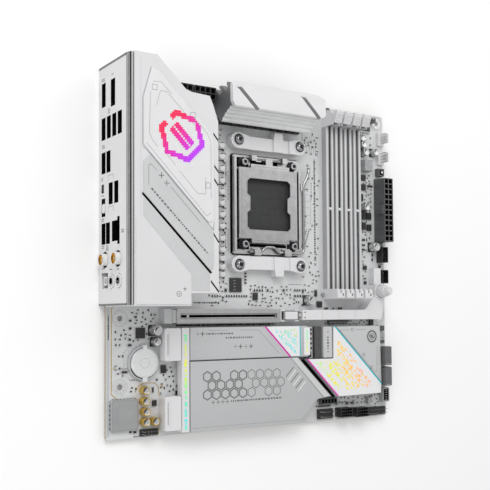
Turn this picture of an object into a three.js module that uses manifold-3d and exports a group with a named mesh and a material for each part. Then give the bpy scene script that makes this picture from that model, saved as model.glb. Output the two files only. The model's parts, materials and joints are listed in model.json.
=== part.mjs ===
// A micro-ATX computer motherboard lying flat, component side up, in millimetres.
// +X runs from the rear connector edge to the power connector edge, +Y runs towards
// the processor end of the board, and +Z rises out of the component side.
// Board coordinates start at the board's corner nearest the rear connectors and the
// expansion end, with z = 0 on the underside. The whole group is shifted at the end so
// that the origin is at the bottom centre of the assembly's bounding box.
import * as THREE from 'three';
import { mergeVertices } from 'three/addons/utils/BufferGeometryUtils.js';
import Module from 'manifold-3d';

const wasm = await Module();
wasm.setup();

// ---------------------------------------------------------------- driving dimensions
const BOARD = 243.84;          // board edge, both ways
const T = 1.6;                 // board thickness, also the z of the component side
const HOLE_R = 2.0;            // mounting hole radius
const PAD_R = 4.6;             // mounting pad radius
const PAD_H = 0.15;            // how far a pad stands below the underside
const HOLES = [[10.16, 34.29], [10.16, 80.01], [33.02, 237.49], [165.1, 237.49],
  [165.1, 80.01], [165.1, 34.29], [237.49, 80.01], [237.49, 237.49]];
const FOOT = -2.2;             // lowest plane, under the board
const TAILS = [[235.6, 141.4], [240.6, 190.0], [190.4, 5.2], [217.8, 5.2], [25.2, 3.3], [36.0, 3.3], [236.0, 27.0], [236.0, 54.0],
  [184.5, 98.8], [212.1, 98.8], [184.5, 236.8], [212.1, 236.8], [41.6, 81.2], [148.6, 81.2], [239.8, 110.0], [239.8, 133.0]]; // soldered anchor posts
const PLATE_X = -3.2;          // outer face of the rear plate
const PLATE_T = 0.8;
const PLATE_Y0 = 88.3, PLATE_Y1 = 246.8, PLATE_TOP = 42.0;
const SHROUD_TOP = 45.5, SHROUD_WALL = 1.6;
const SOCKET = [127.3, 163.4]; // processor centre
const COOLER_DX = 27.2, COOLER_DY = 45.3;
const FRAME_Z = 3.6;           // top of the socket's flat frame
const PLATE_Z0 = 6.0, PLATE_Z1 = 7.3; // load plate
const LEVER_AXIS = [128.0, 5.1];
const PLATE_AXIS = [196.2, 5.2];
const DIMM_X = [184.5, 193.7, 202.9, 212.1];
const DIMM_W = 7.2, DIMM_Z = 7.2, DIMM_PIVOT = [234.6, 6.0], DIMM_POST = 19.6;
const COVER_Z = 12.0;          // top of the drive and chipset heatsinks
const SLOT_Z = 12.0;           // top of the expansion slot
const HEAT_PROFILE_X = [81, 158]; // the upper heatsink's ends

// ---------------------------------------------------------------- helpers
const circ = (cx, cy, r, n = 16, a0 = 0) => Array.from({ length: n }, (_, i) => {
  const a = a0 + (i * 2 * Math.PI) / n;
  return [cx + r * Math.cos(a), cy + r * Math.sin(a)];
});
const rect = (x0, y0, x1, y1) => [[x0, y0], [x1, y0], [x1, y1], [x0, y1]];
const chamf = (x0, y0, x1, y1, c) => [[x0 + c, y0], [x1 - c, y0], [x1, y0 + c], [x1, y1 - c],
  [x1 - c, y1], [x0 + c, y1], [x0, y1 - c], [x0, y0 + c]];
const shapeOf = (pts) => new THREE.Shape(pts.map(([a, b]) => new THREE.Vector2(a, b)));

function solid(geometry) {
  let g = geometry.clone();
  g.deleteAttribute('normal');
  g.deleteAttribute('uv');
  g = mergeVertices(g, 1e-5);
  return new wasm.Manifold(new wasm.Mesh({
    numProp: 3,
    vertProperties: new Float32Array(g.attributes.position.array),
    triVerts: new Uint32Array(g.index.array),
  }));
}
function extruded(pts, depth, holes = []) {
  const s = shapeOf(pts);
  for (const h of holes) s.holes.push(new THREE.Path(h.map(([a, b]) => new THREE.Vector2(a, b))));
  return new THREE.ExtrudeGeometry(s, { depth, bevelEnabled: false, steps: 1 });
}
// prisms along Z from (x, y) points, along X from (y, z) points, along Y from (z, x) points
const pz = (pts, z0, z1, holes) => solid(extruded(pts, z1 - z0, holes).translate(0, 0, z0));
function px(pts, x0, x1) {
  const g = extruded(pts, x1 - x0);
  g.applyMatrix4(new THREE.Matrix4().set(0, 0, 1, x0, 1, 0, 0, 0, 0, 1, 0, 0, 0, 0, 0, 1));
  return solid(g);
}
function py(pts, y0, y1) {
  const g = extruded(pts, y1 - y0);
  g.applyMatrix4(new THREE.Matrix4().set(0, 1, 0, 0, 0, 0, 1, y0, 1, 0, 0, 0, 0, 0, 0, 1));
  return solid(g);
}
const box = (x0, x1, y0, y1, z0, z1) => solid(new THREE.BoxGeometry(x1 - x0, y1 - y0, z1 - z0)
  .translate((x0 + x1) / 2, (y0 + y1) / 2, (z0 + z1) / 2));
const join = (...m) => m.flat().reduce((a, b) => a.add(b));
const cut = (a, ...m) => m.flat().reduce((x, y) => x.subtract(y), a);
function wire(points, r, steps, n = 8) {
  const path = new THREE.CatmullRomCurve3(points.map((q) => new THREE.Vector3(...q)), false, 'catmullrom', 0.12);
  const s = shapeOf(circ(0, 0, r, n));
  return solid(new THREE.ExtrudeGeometry(s, { extrudePath: path, steps, bevelEnabled: false }));
}

const group = new THREE.Group();
function node(name, m, color, roughness, metalness) {
  const mesh = m.getMesh();
  const g = new THREE.BufferGeometry();
  g.setAttribute('position', new THREE.BufferAttribute(new Float32Array(mesh.vertProperties), 3));
  g.setIndex(new THREE.BufferAttribute(new Uint32Array(mesh.triVerts), 1));
  g.computeVertexNormals();
  const o = new THREE.Mesh(g, new THREE.MeshStandardMaterial({ color, roughness, metalness }));
  o.name = name;
  group.add(o);
  return o;
}
const WHITE = 0xe9e9ea, SILVER = 0xc4c6c8, DARK = 0x55575a, BLACK = 0x141416, STEEL = 0xaeb0b2;

// ---------------------------------------------------------------- board
{
  const holes = HOLES.map(([x, y]) => circ(x, y, HOLE_R, 16));
  let m = pz(chamf(0, 0, BOARD, BOARD, 1.2), 0, T, holes);
  for (const [x, y] of HOLES) m = m.add(pz(circ(x, y, PAD_R, 16), -PAD_H, 0, [circ(x, y, HOLE_R, 16)]));
  for (const [x, y] of TAILS) m = m.add(pz(circ(x, y, 0.75, 6), FOOT, 0));
  node('pcb', m, 0xdfe0e0, 0.5, 0.0);
}

// ---------------------------------------------------------------- rear plate, shroud and rear connectors
// openings in the rear plate as [y0, y1, z0, z1]
const PORTS = {
  hdmi: [219.6, 234.6, 2.9, 8.4], dp: [217.6, 234.4, 17.6, 23.6],
  a1: [197.7, 211.5, 2.6, 8.2], a2: [197.7, 211.5, 11.2, 16.8], a3: [197.7, 211.5, 19.8, 25.4], a4: [197.7, 211.5, 28.4, 34.0],
  b1: [175.4, 188.6, 2.6, 8.2], b2: [175.4, 188.6, 10.6, 16.2],
  c1: [154.2, 167.4, 14.2, 19.8], c2: [154.2, 167.4, 23.0, 28.6],
  btnA: [162.3, 168.0, 2.2, 6.2], btnB: [146.6, 158.6, 2.4, 8.4],
  l1: [128.8, 141.8, 2.6, 8.2], l2: [128.8, 141.8, 9.8, 15.4],
};
const lanHole = [[127.2, 27.4], [129.4, 27.4], [129.4, 19.0], [142.6, 19.0], [142.6, 27.4], [144.8, 27.4], [144.8, 31.0], [127.2, 31.0]];
const OPT = [99.4, 109.4, 2.8, 12.4];
const ANT = [[118.2, 7.8], [118.0, 28.2]];
const JACK = [[104.0, 18.6], [104.0, 29.4]];
{
  let m = box(PLATE_X, PLATE_X + PLATE_T, PLATE_Y0, PLATE_Y1, FOOT, PLATE_TOP);
  m = join(m,
    box(PLATE_X, -0.4, PLATE_Y1 - 0.8, PLATE_Y1, FOOT, PLATE_TOP),
    box(PLATE_X, -0.4, PLATE_Y0, PLATE_Y0 + 0.8, FOOT, PLATE_TOP),
    py([[PLATE_TOP - 0.2, PLATE_X], [45.2, -1.5], [45.2, -0.7], [PLATE_TOP - 0.2, -2.4]], PLATE_Y0, PLATE_Y1));
  for (const k of Object.keys(PORTS)) {
    const [y0, y1, z0, z1] = PORTS[k];
    m = m.subtract(box(-5, -1, y0, y1, z0, z1));
  }
  m = m.subtract(box(-5, -1, OPT[0], OPT[1], OPT[2], OPT[3]));
  m = m.subtract(px(lanHole, -5, -1));
  for (const [y, z] of ANT) m = m.subtract(px(circ(y, z, 5.4, 20), -5, -1));
  for (const [y, z] of JACK) m = m.subtract(px(circ(y, z, 4.9, 16), -5, -1));
  node('io_plate', m, 0xdededf, 0.45, 0.1);
}
// short diagonal slots as [x0, y0, x1, y1]
const EDGE_SLOTS = [[57.2, 202.2, 61.8, 196.6], [57.8, 180.8, 61.8, 175.8], [57.6, 172.0, 61.8, 166.6], [57.0, 135.9, 61.8, 129.1], [54.8, 104.8, 61.8, 96.6]];
const SHROUD = [[-0.3, 87.8], [40.3, 87.8], [40.4, 95.8], [60.9, 96.2], [60.9, 209.6], [57.2, 220.2], [54.6, 226.0],
  [41.2, 226.8], [37.0, 228.0], [30.5, 234.0], [16.4, 247.4], [-0.3, 247.4]];
{
  const w = SHROUD_WALL;
  const inner = [[-6, 87.8 + w], [40.3 - w, 87.8 + w], [40.4 - w, 95.8 + w], [60.9 - w, 96.2 + w], [60.9 - w, 209.2], [55.8, 219.0],
    [53.4, 222.9], [40.6, 224.0], [35.9, 225.9], [29.2, 232.9], [15.7, 247.4 - w], [-6, 247.4 - w]];
  let m = pz(SHROUD, T, SHROUD_TOP).subtract(pz(inner, -1, SHROUD_TOP - 1.8));
  // sloped front corner next to the rear plate and five short diagonal slots in the edge by the heatsink
  m = m.subtract(py([[42.4, -1], [47, -1], [47, 1.4]], 80, 250));
  for (const [x0, y0, x1, y1] of EDGE_SLOTS) m = m.subtract(pz([[x0, y0 - 1.7], [x1, y1 - 1.7], [x1, y1], [x0, y0]], 44.2, 47));
  node('io_shroud', m, WHITE, 0.42, 0.0);
}
node('light_panel', pz([[6.5, 188.8], [52.5, 142.6], [55.0, 142.6], [56.9, 144.5], [56.9, 197.0], [52.9, 203.7], [17.1, 237.3], [12.1, 238.2], [6.5, 218.7]],
  SHROUD_TOP, SHROUD_TOP + 0.9), 0xf0f0f2, 0.3, 0.0);
node('shroud_band', pz([[6.4, 158.4], [54.4, 110.6], [56.6, 113.0], [56.6, 137.2], [10.8, 183.2], [6.4, 178.4]],
  SHROUD_TOP, SHROUD_TOP + 0.6), 0xcfd0d2, 0.35, 0.4);

const STACK = (y0, y1, z1, depth) => box(-2.2, depth, y0, y1, T, z1);
const pocket = ([y0, y1, z0, z1], d) => box(-4, d, y0 + 0.3, y1 - 0.3, z0 + 0.3, z1 - 0.3);
const tongue = ([y0, y1, z0, z1], d, t = 1.6, w = 1.4) => box(-1.2, d + 0.5, y0 + w, y1 - w, (z0 + z1) / 2 - t / 2 - 0.6, (z0 + z1) / 2 + t / 2 - 0.6);
{
  let m = STACK(216.6, 236.0, 24.8, 15);
  m = cut(m, pocket(PORTS.hdmi, 9), pocket(PORTS.dp, 9), box(-4, 16, 216, 237, 9.8, 16.4).subtract(box(3, 17, 210, 240, 5, 20)));
  node('video_ports', join(m, tongue(PORTS.hdmi, 9, 1.2, 2.4), tongue(PORTS.dp, 9, 1.2, 2.4)), STEEL, 0.35, 0.8);
}
{
  let m = STACK(196.6, 212.6, 35.2, 16);
  m = cut(m, ['a1', 'a2', 'a3', 'a4'].map((k) => pocket(PORTS[k], 11)));
  node('usb_stack_a', join(m, ['a1', 'a2', 'a3', 'a4'].map((k) => tongue(PORTS[k], 11))), STEEL, 0.35, 0.8);
}
{
  let m = STACK(174.3, 189.7, 17.4, 15);
  m = cut(m, pocket(PORTS.b1, 11), pocket(PORTS.b2, 11));
  node('usb_stack_b', join(m, tongue(PORTS.b1, 11), tongue(PORTS.b2, 11)), STEEL, 0.35, 0.8);
}
{
  let m = join(STACK(152.9, 168.6, 29.8, 15));
  m = cut(m, pocket(PORTS.c1, 11), pocket(PORTS.c2, 11), box(-4, 16, 152, 169.5, 0, 11.4).subtract(box(7.5, 17, 150, 170, 0, 12)));
  node('usb_stack_c', join(m, tongue(PORTS.c1, 11), tongue(PORTS.c2, 11)), STEEL, 0.35, 0.8);
}
{
  let m = STACK(127.0, 145.2, 31.6, 18);
  m = cut(m, pocket(PORTS.l1, 11), pocket(PORTS.l2, 11), px(lanHole.map(([a, b]) => [a + (a > 136 ? -0.3 : 0.3), b + (b > 25 ? -0.3 : 0.3)]), -4, 12));
  node('lan_stack', join(m, tongue(PORTS.l1, 11), tongue(PORTS.l2, 11)), STEEL, 0.35, 0.8);
}
{
  // radio module with two antenna sockets, a flat on two sides of each
  let m = box(-2.2, 14, 111.2, 125.0, T, 34.6);
  for (const [y, z] of ANT) {
    let j = px(circ(y, z, 5.0, 20), -6.4, 0).subtract(px(circ(y, z, 3.5, 16), -9, -4.0)).add(px(circ(y, z, 1.0, 8), -5.8, -3.8));
    j = cut(j, box(-9, -2.2, y + 3.8, y + 7, z - 6, z + 6), box(-9, -2.2, y - 7, y - 3.8, z - 6, z + 6));
    m = m.add(j);
  }
  node('antenna_module', m, 0xc9a45c, 0.3, 0.9);
}
{
  let m = box(-2.2, 12, 97.6, 110.4, T, 35.6);
  m = m.subtract(box(-4, 3, OPT[0] + 0.4, OPT[1] - 0.4, OPT[2] + 0.4, OPT[3] - 0.4)).add(box(-2.6, 4, 101.6, 107.2, 4.6, 10.4));
  for (const [y, z] of JACK) {
    m = m.add(px(circ(y, z, 4.6, 16), -3.8, -1)).subtract(px(circ(y, z, 1.8, 12), -5, 9));
  }
  node('audio_jacks', m, 0xe4e4e4, 0.4, 0.0);
}
// two push buttons, each sliding in a housing that stands behind the plate
{
  const A = PORTS.btnA, B = PORTS.btnB;
  let m = box(-2.2, 6.0, 159.6, 169.2, T, 8.6).subtract(box(-4, 3.4, A[0] + 0.3, A[1] - 0.3, A[2] + 0.3, A[3] - 0.3));
  m = m.add(box(-2.2, 6.0, 146.0, 159.7, T, 9.2).subtract(box(-4, 3.4, B[0] + 0.3, B[1] - 0.3, B[2] + 0.3, B[3] - 0.3)));
  node('button_housing', m, 0x2a2a2c, 0.5, 0.0);
  node('flashback_button', box(-3.0, 1.8, A[0] + 0.7, A[1] - 0.7, A[2] + 0.7, A[3] - 0.7), 0x1b1b1d, 0.4, 0.0);
  node('reset_button', px(chamf(149.0, 3.1, 155.2, 7.7, 0.9), -3.4, 1.8), 0xf2f2f2, 0.4, 0.0);
}

// ---------------------------------------------------------------- voltage regulator heatsinks
{
  let m = box(37.5, 56.0, 112, 206, 4.2, 33).add(box(39, 54, 112, 120, T, 5)).add(box(39, 54, 198, 206, T, 5));
  for (const y of [126, 142, 158, 174, 190]) m = m.subtract(box(36, 57, y - 3, y + 3, 15, 40));
  node('vrm_heatsink_left', m, DARK, 0.5, 0.6);
}
const [HX0, HX1] = HEAT_PROFILE_X;
{
  // profile in (y, z): feet over the regulators, undercut front lip, four steps, slanted fins at the back
  const prof = [[235.2, 2.9], [231.0, 2.9], [229.6, 4.6], [219.4, 12.9], [218.0, 15.6], [218.6, 17.4],
    [220.6, 18.0], [220.9, 20.0], [222.8, 21.2], [223.0, 23.2], [224.6, 24.4], [224.8, 26.6], [226.2, 27.8], [226.4, 29.4],
    [240.6, 29.4], [243.6, 27.0], [244.6, 23.4], [242.6, 23.4], [240.2, 25.0], [238.6, 22.0], [241.8, 18.8], [243.6, 16.4], [243.6, 13.2],
    [241.8, 13.8], [239.0, 16.6], [237.4, 13.6], [240.6, 10.4], [242.8, 8.0], [242.8, 5.2], [238.0, 6.4]];
  let m = px(prof, HX0, HX1);
  m = join(m, box(84, 96, 229.6, 236.2, T, 6), box(140, 152, 229.6, 236.2, T, 6));
  node('vrm_heatsink_top', m, DARK, 0.5, 0.6);
}
{
  // white cover: flat face, chamfered back edge, cut corners, two diagonal grooves
  const plan = [[82.8, 225.2], [156.2, 225.2], [160.8, 228.2], [160.8, 240.4], [155.2, 243.6], [82.6, 243.6], [80.2, 241.6], [80.2, 229.4]];
  const prof = [[225.2, 29.6], [225.2, 32.2], [226.2, 33.2], [239.4, 33.2], [243.6, 30.8], [243.6, 29.6]];
  let m = px(prof, 78, 163).intersect(pz(plan, 20, 40));
  const g1 = [[76.6, 242.8], [85.1, 238.0], [100.5, 223.8], [102.7, 225.5], [86.9, 240.1], [77.4, 245.6]];
  const g2 = [[129.5, 244.8], [139.2, 239.0], [154.6, 223.8], [156.6, 225.9], [141.0, 241.2], [133.3, 245.6]];
  m = m.subtract(pz(g1, 32.0, 40).intersect(px(prof.map(([a, b]) => [a, b + 3]), 70, 170).add(box(70, 170, 220, 250, 34, 40))));
  m = m.subtract(pz(g2, 32.0, 40).intersect(px(prof.map(([a, b]) => [a, b + 3]), 70, 170).add(box(70, 170, 220, 250, 34, 40))));
  node('vrm_top_cover', m, WHITE, 0.35, 0.0);
}

// ---------------------------------------------------------------- power connectors
function powerConnector(x0, y0, nx, ny, pitch, wall, z1, hole, depth) {
  const W = nx * pitch + wall * 2 - (pitch - hole) + 0, H = ny * pitch + wall * 2 - (pitch - hole);
  let m = box(x0, x0 + W, y0, y0 + H, T, z1);
  for (let i = 0; i < nx; i++) for (let j = 0; j < ny; j++) {
    const a = x0 + wall + i * pitch, b = y0 + wall + j * pitch;
    m = m.subtract(box(a, a + hole, b, b + hole, z1 - depth, z1 + 1));
  }
  return m;
}
node('cpu_power_1', powerConnector(42.2, 232.6, 4, 2, 4.2, 0.9, 14.2, 3.2, 9).add(box(48, 52.6, 231.4, 232.8, 6, 13)), BLACK, 0.45, 0.0);
node('cpu_power_2', powerConnector(60.6, 232.6, 4, 2, 4.2, 0.9, 14.2, 3.2, 9).add(box(66.4, 71, 231.4, 232.8, 6, 13)), BLACK, 0.45, 0.0);
node('atx_power', powerConnector(233.9, 139.9, 2, 12, 4.2, 0.9, 14.5, 3.2, 9).add(box(232.6, 234.2, 162, 169, 7, 13.5)), 0x4e5052, 0.45, 0.0);

// ---------------------------------------------------------------- processor socket
const [SX, SY] = SOCKET;
{
  let m = box(104.4, 150.0, 138.6, 187.6, T, 5.4).subtract(box(107.2, 147.2, 143.0, 183.4, 2.9, 8));
  node('cpu_socket', m, 0x2b2c2e, 0.5, 0.0);
}
const SCREW4 = [[106.4, 193.3], [150.0, 193.6], [106.5, 133.2], [150.3, 132.9]];
{
  // flat steel frame around the socket, a raised left rail, hinge ears, lever hooks and a lever catch
  let m = pz(chamf(97.2, 126.2, 156.4, 198.6, 1.4), T, FRAME_Z, [rect(104.0, 138.2, 150.4, 188.0)]);
  m = join(m,
    box(97.2, 99.2, 128.0, 197.0, FRAME_Z, 6.8),
    box(154.6, 156.4, 131.6, 190.0, FRAME_Z, 6.6),
    box(112.0, 116.4, 197.4, 198.6, FRAME_Z, 7.6), box(112.0, 116.4, 194.6, 198.6, 6.7, 7.6),
    box(139.4, 143.8, 197.4, 198.6, FRAME_Z, 7.6), box(139.4, 143.8, 194.6, 198.6, 6.7, 7.6),
    box(114.0, 119.6, 125.2, 126.4, T, 7.6), box(114.0, 119.6, 125.2, 129.8, 6.7, 7.6),
    box(141.0, 147.0, 125.2, 126.4, T, 7.6), box(141.0, 147.0, 125.2, 129.8, 6.7, 7.6),
    box(156.2, 157.6, 175.4, 181.0, T, 7.4));
  for (const [x, y] of SCREW4) m = m.add(pz(circ(x, y, 2.9, 12), FRAME_Z, 6.2));
  node('socket_frame', m, STEEL, 0.3, 0.9);
}
{
  // load plate: corners cut round the four screws, window with an inward tab on each side,
  // rolled left edge and two hinge tongues
  const out = [[100.6, 137.4], [111.6, 137.4], [111.6, 134.4], [145.0, 134.4], [145.0, 137.4], [152.6, 137.4], [152.6, 189.2],
    [145.6, 189.2], [145.6, 192.2], [111.2, 192.2], [111.2, 189.2], [100.6, 189.2]];
  const win = [[110.2, 144.0], [144.0, 144.0], [146.2, 146.2], [146.2, 156.6], [143.6, 158.4], [143.6, 168.2], [146.2, 170.0], [146.2, 179.4],
    [144.0, 181.6], [110.2, 181.6], [108.0, 179.4], [108.0, 170.0], [110.6, 168.2], [110.6, 158.4], [108.0, 156.6], [108.0, 146.2]];
  let m = pz(out, PLATE_Z0, PLATE_Z1, [win]);
  m = join(m, box(100.6, 102.0, 139.0, 187.6, 4.4, PLATE_Z1),
    px(circ(PLATE_AXIS[0], PLATE_AXIS[1], 0.95, 8), 111.6, 144.2),
    box(124.4, 130.4, 191.8, 196.9, PLATE_AXIS[1], PLATE_Z1));
  node('socket_load_plate', m, 0xb9bbbd, 0.3, 0.9);
}
{
  const [ly, lz] = LEVER_AXIS;
  const m = wire([[111.4, ly, lz], [119.8, ly, lz], [121.6, ly, lz], [124.0, ly + 3.0, lz + 0.2], [126.0, ly + 3.8, lz + 0.2], [131.6, ly + 3.8, lz + 0.2], [133.8, ly + 3.0, lz + 0.2],
    [136.6, ly, lz], [138.4, ly, lz], [155.0, ly, lz], [158.8, ly + 0.8, lz], [160.0, ly + 3.4, lz], [160.0, 150, lz], [159.8, 176, lz], [160.2, 180.4, lz],
    [163.6, 186.6, lz + 0.4], [164.6, 190.0, lz + 0.5], [164.6, 194.0, lz + 0.5]], 1.1, 60, 8);
  node('socket_lever', m, 0xc8cacc, 0.25, 0.95);
}
node('socket_backplate', pz(chamf(99.0, 117.6, 155.6, 209.2, 7), FOOT, 0), 0x6c6e70, 0.4, 0.8);

function bracket(sign) {
  // sign +1: above the socket, tab pointing to +Y; -1: below it, tab pointing to -Y
  const yc = SY + sign * COOLER_DY;
  const x0 = SX - COOLER_DX, x1 = SX + COOLER_DX;
  const ys = (a) => yc + sign * a;
  const o = [];
  for (let i = 0; i <= 6; i++) { const a = Math.PI * (0.5 + i / 6); o.push([x0 + 6.6 * Math.cos(a), ys(6.0 * Math.sin(a) - 0.4)]); }
  o.push([x0 + 4.4, ys(-6.2)], [x1 - 4.4, ys(-6.2)]);
  for (let i = 0; i <= 6; i++) { const a = Math.PI * (1.5 + i / 6); o.push([x1 + 5.6 * Math.cos(a), ys(6.0 * Math.sin(a) - 0.4)]); }
  o.push([x1 - 9.5, ys(3.4)], [SX + 12.0, ys(3.4)], [SX + 11.6, ys(8.2)], [SX + 4.6, ys(8.2)], [SX + 3.6, ys(3.4)], [x0 + 9, ys(3.4)]);
  const pts = sign > 0 ? o : o.slice().reverse();
  let m = pz(pts, T, 8.6);
  m = m.subtract(box(x0 + 9.5, x1 - 9.5, yc - 14, yc + 14, 7.4, 12).subtract(box(SX + 3.4, SX + 12.2, yc - 15, yc + 15, 7, 12)));
  return m;
}
node('cooler_bracket_top', bracket(1), WHITE, 0.3, 0.0);
node('cooler_bracket_bottom', bracket(-1), WHITE, 0.3, 0.0);

// ---------------------------------------------------------------- memory slots and latches
const [PY, PZ] = DIMM_PIVOT;
DIMM_X.forEach((c, i) => {
  const h = DIMM_W / 2;
  // end tower at one end, two cheeks carrying the latch at the other
  const cheek = [[228.0, T], [240.2, T], [240.2, 9.5], [238.6, 14.4], [236.4, 15.6], [228.0, 15.6]];
  let m = join(box(c - h, c + h, 100.6, 228.4, T, DIMM_Z),
    px([[93.6, T], [101.2, T], [101.2, 18.2], [99.8, DIMM_POST], [94.6, DIMM_POST], [93.6, 18.4]], c - h, c + h),
    px(cheek, c - h, c - 2.4), px(cheek, c + 2.4, c + h), box(c - h, c + h, 228.0, 240.2, T, 2.2));
  m = cut(m, box(c - 0.8, c + 0.8, 98.2, 163.0, 3.2, 22), box(c - 0.8, c + 0.8, 164.8, 229.0, 3.2, 12));
  node(`dimm_slot_${i + 1}`, m, 0xd6d7d8, 0.4, 0.0);
  // latch: a foot between the cheeks and a wider finger pad above them
  const foot = [[PY - 3.0, PZ - 1.0], [PY - 1.6, PZ - 2.8], [PY + 1.6, PZ - 2.8], [PY + 3.0, PZ - 0.6], [PY + 3.2, 16.6], [PY - 5.2, 16.6], [PY - 5.0, 10.5]];
  const pad = [[PY - 5.6, 16.2], [PY + 1.8, 16.2], [PY + 3.6, 17.8], [PY + 4.2, 20.4], [PY + 2.8, 21.4], [PY - 1.6, 19.6], [PY - 5.6, 18.2]];
  node(`dimm_latch_${i + 1}`, px(foot, c - 2.0, c + 2.0).add(px(pad, c - 3.5, c + 3.5)), 0xf0f0f0, 0.35, 0.0);
});

// ---------------------------------------------------------------- expansion slot, its shield and its release
{
  let m = box(45.0, 134.6, 76.6, 85.6, T, 11.0);
  m = m.add(box(38.8, 45.2, 76.2, 86.2, T, 10.2));
  m = cut(m, box(51.0, 55.6, 80.2, 82.0, 3.6, 14), box(57.4, 129.4, 80.2, 82.0, 3.6, 14));
  // open cradle for the latch at the slot's end
  m = m.add(box(134.2, 152.6, 76.6, 85.6, T, 3.2)).add(box(135.2, 137.0, 76.6, 85.6, T, 8.0));
  m = m.add(box(136.8, 152.6, 76.6, 77.8, T, 8)).add(box(136.8, 152.6, 84.4, 85.6, T, 8));
  node('pcie_slot', m, 0xcfd0d1, 0.4, 0.0);
}
{
  // folded steel shield over the slot's long sides and top
  let m = box(47.6, 133.0, 76.0, 86.2, 4.2, SLOT_Z).subtract(box(47, 134, 76.5, 85.7, 3, 11.1));
  m = m.subtract(box(50.6, 129.8, 79.6, 82.6, 10, 14));
  node('pcie_shield', m, 0x9b9da0, 0.35, 0.8);
}
{
  const LP = [142.0, 5.2];
  const prof = [[LP[1] + 2.6, LP[0] - 3.0], [LP[1] + 0.2, LP[0] - 2.0], [LP[1] - 1.4, LP[0]], [LP[1] + 0.2, LP[0] + 2.0], [LP[1] + 1.6, 148.6], [10.6, 150.0], [10.6, 138.8]];
  node('slot_latch', py(prof, 78.2, 84.0), 0xf0f0f0, 0.35, 0.0);
}
// round button housing, the block beside it and the curved arm that joins them to the channel
const KNOB = [230.9, 100.0];
function releaseBase() {
  const arm = [[214.0, 77.8], [231.6, 77.8], [232.6, 82.0], [233.6, 87.0], [235.0, 92.6], [235.6, 97.6], [225.6, 98.0], [223.4, 94.6], [219.2, 90.2], [216.4, 86.4], [214.0, 84.9]];
  return pz(arm, T, SLOT_Z - 0.6).add(pz(circ(KNOB[0], KNOB[1], 6.4, 24), T, 12.0)).add(box(227.3, 234.6, 105.6, 118.6, T, 8.0))
    .subtract(pz(circ(KNOB[0], KNOB[1], 5.3, 24), 3.4, 14))
    .subtract(box(213.0, 226.4, 79.6, 83.4, 6.0, 10.6));
}
{
  // long white channel with the sliding link inside, ending at the push button
  let m = box(153.4, 218.6, 77.8, 85.2, T, 12.0).subtract(box(152.6, 219.6, 79.6, 83.4, 6.0, 10.6));
  // clear the mounting hole under the channel
  m = m.subtract(pz(circ(165.1, 80.01, 4.8, 12), 0, 5.6));
  m = m.add(releaseBase());
  node('slot_release_cover', m, WHITE, 0.35, 0.0);
  node('slot_release_link', box(151.4, 222.6, 80.0, 83.0, 6.4, 10.2), 0xd8d8da, 0.45, 0.0);
}
{
  // ridged round knob with a narrower tip
  let b = pz(circ(KNOB[0], KNOB[1], 4.9, 20), 8.0, 13.6);
  for (const [z0, z1, q] of [[13.5, 14.3, 4.3], [14.2, 15.4, 4.8], [15.3, 16.0, 4.2], [15.9, 17.0, 4.6], [16.9, 17.6, 4.0], [17.5, 18.8, 4.3], [18.7, 21.2, 3.4], [21.1, 22.6, 3.0], [22.5, 23.4, 2.3]]) {
    b = b.add(pz(circ(KNOB[0], KNOB[1], q, 20), z0, z1));
  }
  node('slot_release_button', b, 0xf3f3f3, 0.35, 0.0);
}

// ---------------------------------------------------------------- drive and chipset heatsinks
{
  // upper plate, thin strip beside it, both on a common base with two standing legs
  const up = [[57.8, 50.9], [141.2, 50.9], [119.2, 73.3], [57.8, 73.3]];
  let m = pz([[57.4, 50.4], [158.8, 50.4], [158.8, 73.3], [57.4, 73.3]], 5.0, 10.9);
  m = m.add(pz(up, 10.9, COVER_Z));
  m = m.add(pz([[121.4, 73.3], [141.8, 52.4], [150.8, 52.4], [150.8, 73.3]], 10.9, COVER_Z));
  m = m.add(box(60, 72, 54, 70, T, 5)).add(box(143, 153, 54, 70, T, 5));
  node('m2_heatsink', m, SILVER, 0.35, 0.7);
}
node('heatsink_rail', pz(rect(51.3, 2.2, 57.0, 73.2), 5.0, COVER_Z).add(box(52, 56.4, 4, 14, T, 5)).add(box(52, 56.4, 60, 72, T, 5)), WHITE, 0.35, 0.0);
{
  // slanted right end with a long point that follows the chipset heatsink
  const body = [[57.4, 1.6], [150.2, 1.4], [159.6, 9.0], [166.9, 18.2], [179.6, 19.6], [151.4, 47.4], [148.8, 50.0], [57.4, 50.0]];
  let m = pz(body, 5.0, COVER_Z).add(box(64, 80, 8, 40, T, 5)).add(box(118, 146, 10, 40, T, 5));
  node('m2_heatsink_lower', m, SILVER, 0.35, 0.7);
}
{
  const body = [[186.2, 18.9], [229.8, 19.4], [230.5, 26.9], [229.3, 72.5], [182.3, 72.4], [182.0, 47.9], [156.9, 48.4]];
  let m = pz(body, 5.4, COVER_Z);
  // panel line from the upper left to the lower right corner
  m = m.subtract(pz([[183.6, 72.0], [229.9, 26.6], [230.9, 27.5], [184.8, 73.0]], 11.2, 13));
  m = m.add(box(190, 200, 28, 38, T, 5.5)).add(box(216, 226, 58, 68, T, 5.5));
  node('chipset_heatsink', m, 0xdcdcdd, 0.35, 0.5);
}
node('chipset_chip', box(202, 214, 42, 54, T, 5.4), 0x2c2d30, 0.4, 0.2);
{
  let m = pz(rect(172.8, 48.9, 181.4, 72.5), 5.0, COVER_Z).add(box(174, 180, 50.5, 56, T, 5)).add(box(174, 180, 65, 71, T, 5));
  node('heatsink_strip_right', m, 0xcfd0d1, 0.35, 0.6);
}
function endBlock(y0, y1) {
  let m = pz(chamf(38.4, y0, 50.7, y1, 1.0), T, COVER_Z);
  return m.subtract(box(40.3, 41.0, y0 + 4, y1 - 4, 11.4, 13));
}
node('m2_end_block_1', endBlock(50.9, 73.1), WHITE, 0.35, 0.0);
node('m2_end_block_2', endBlock(4.0, 27.0), WHITE, 0.35, 0.0);

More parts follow.
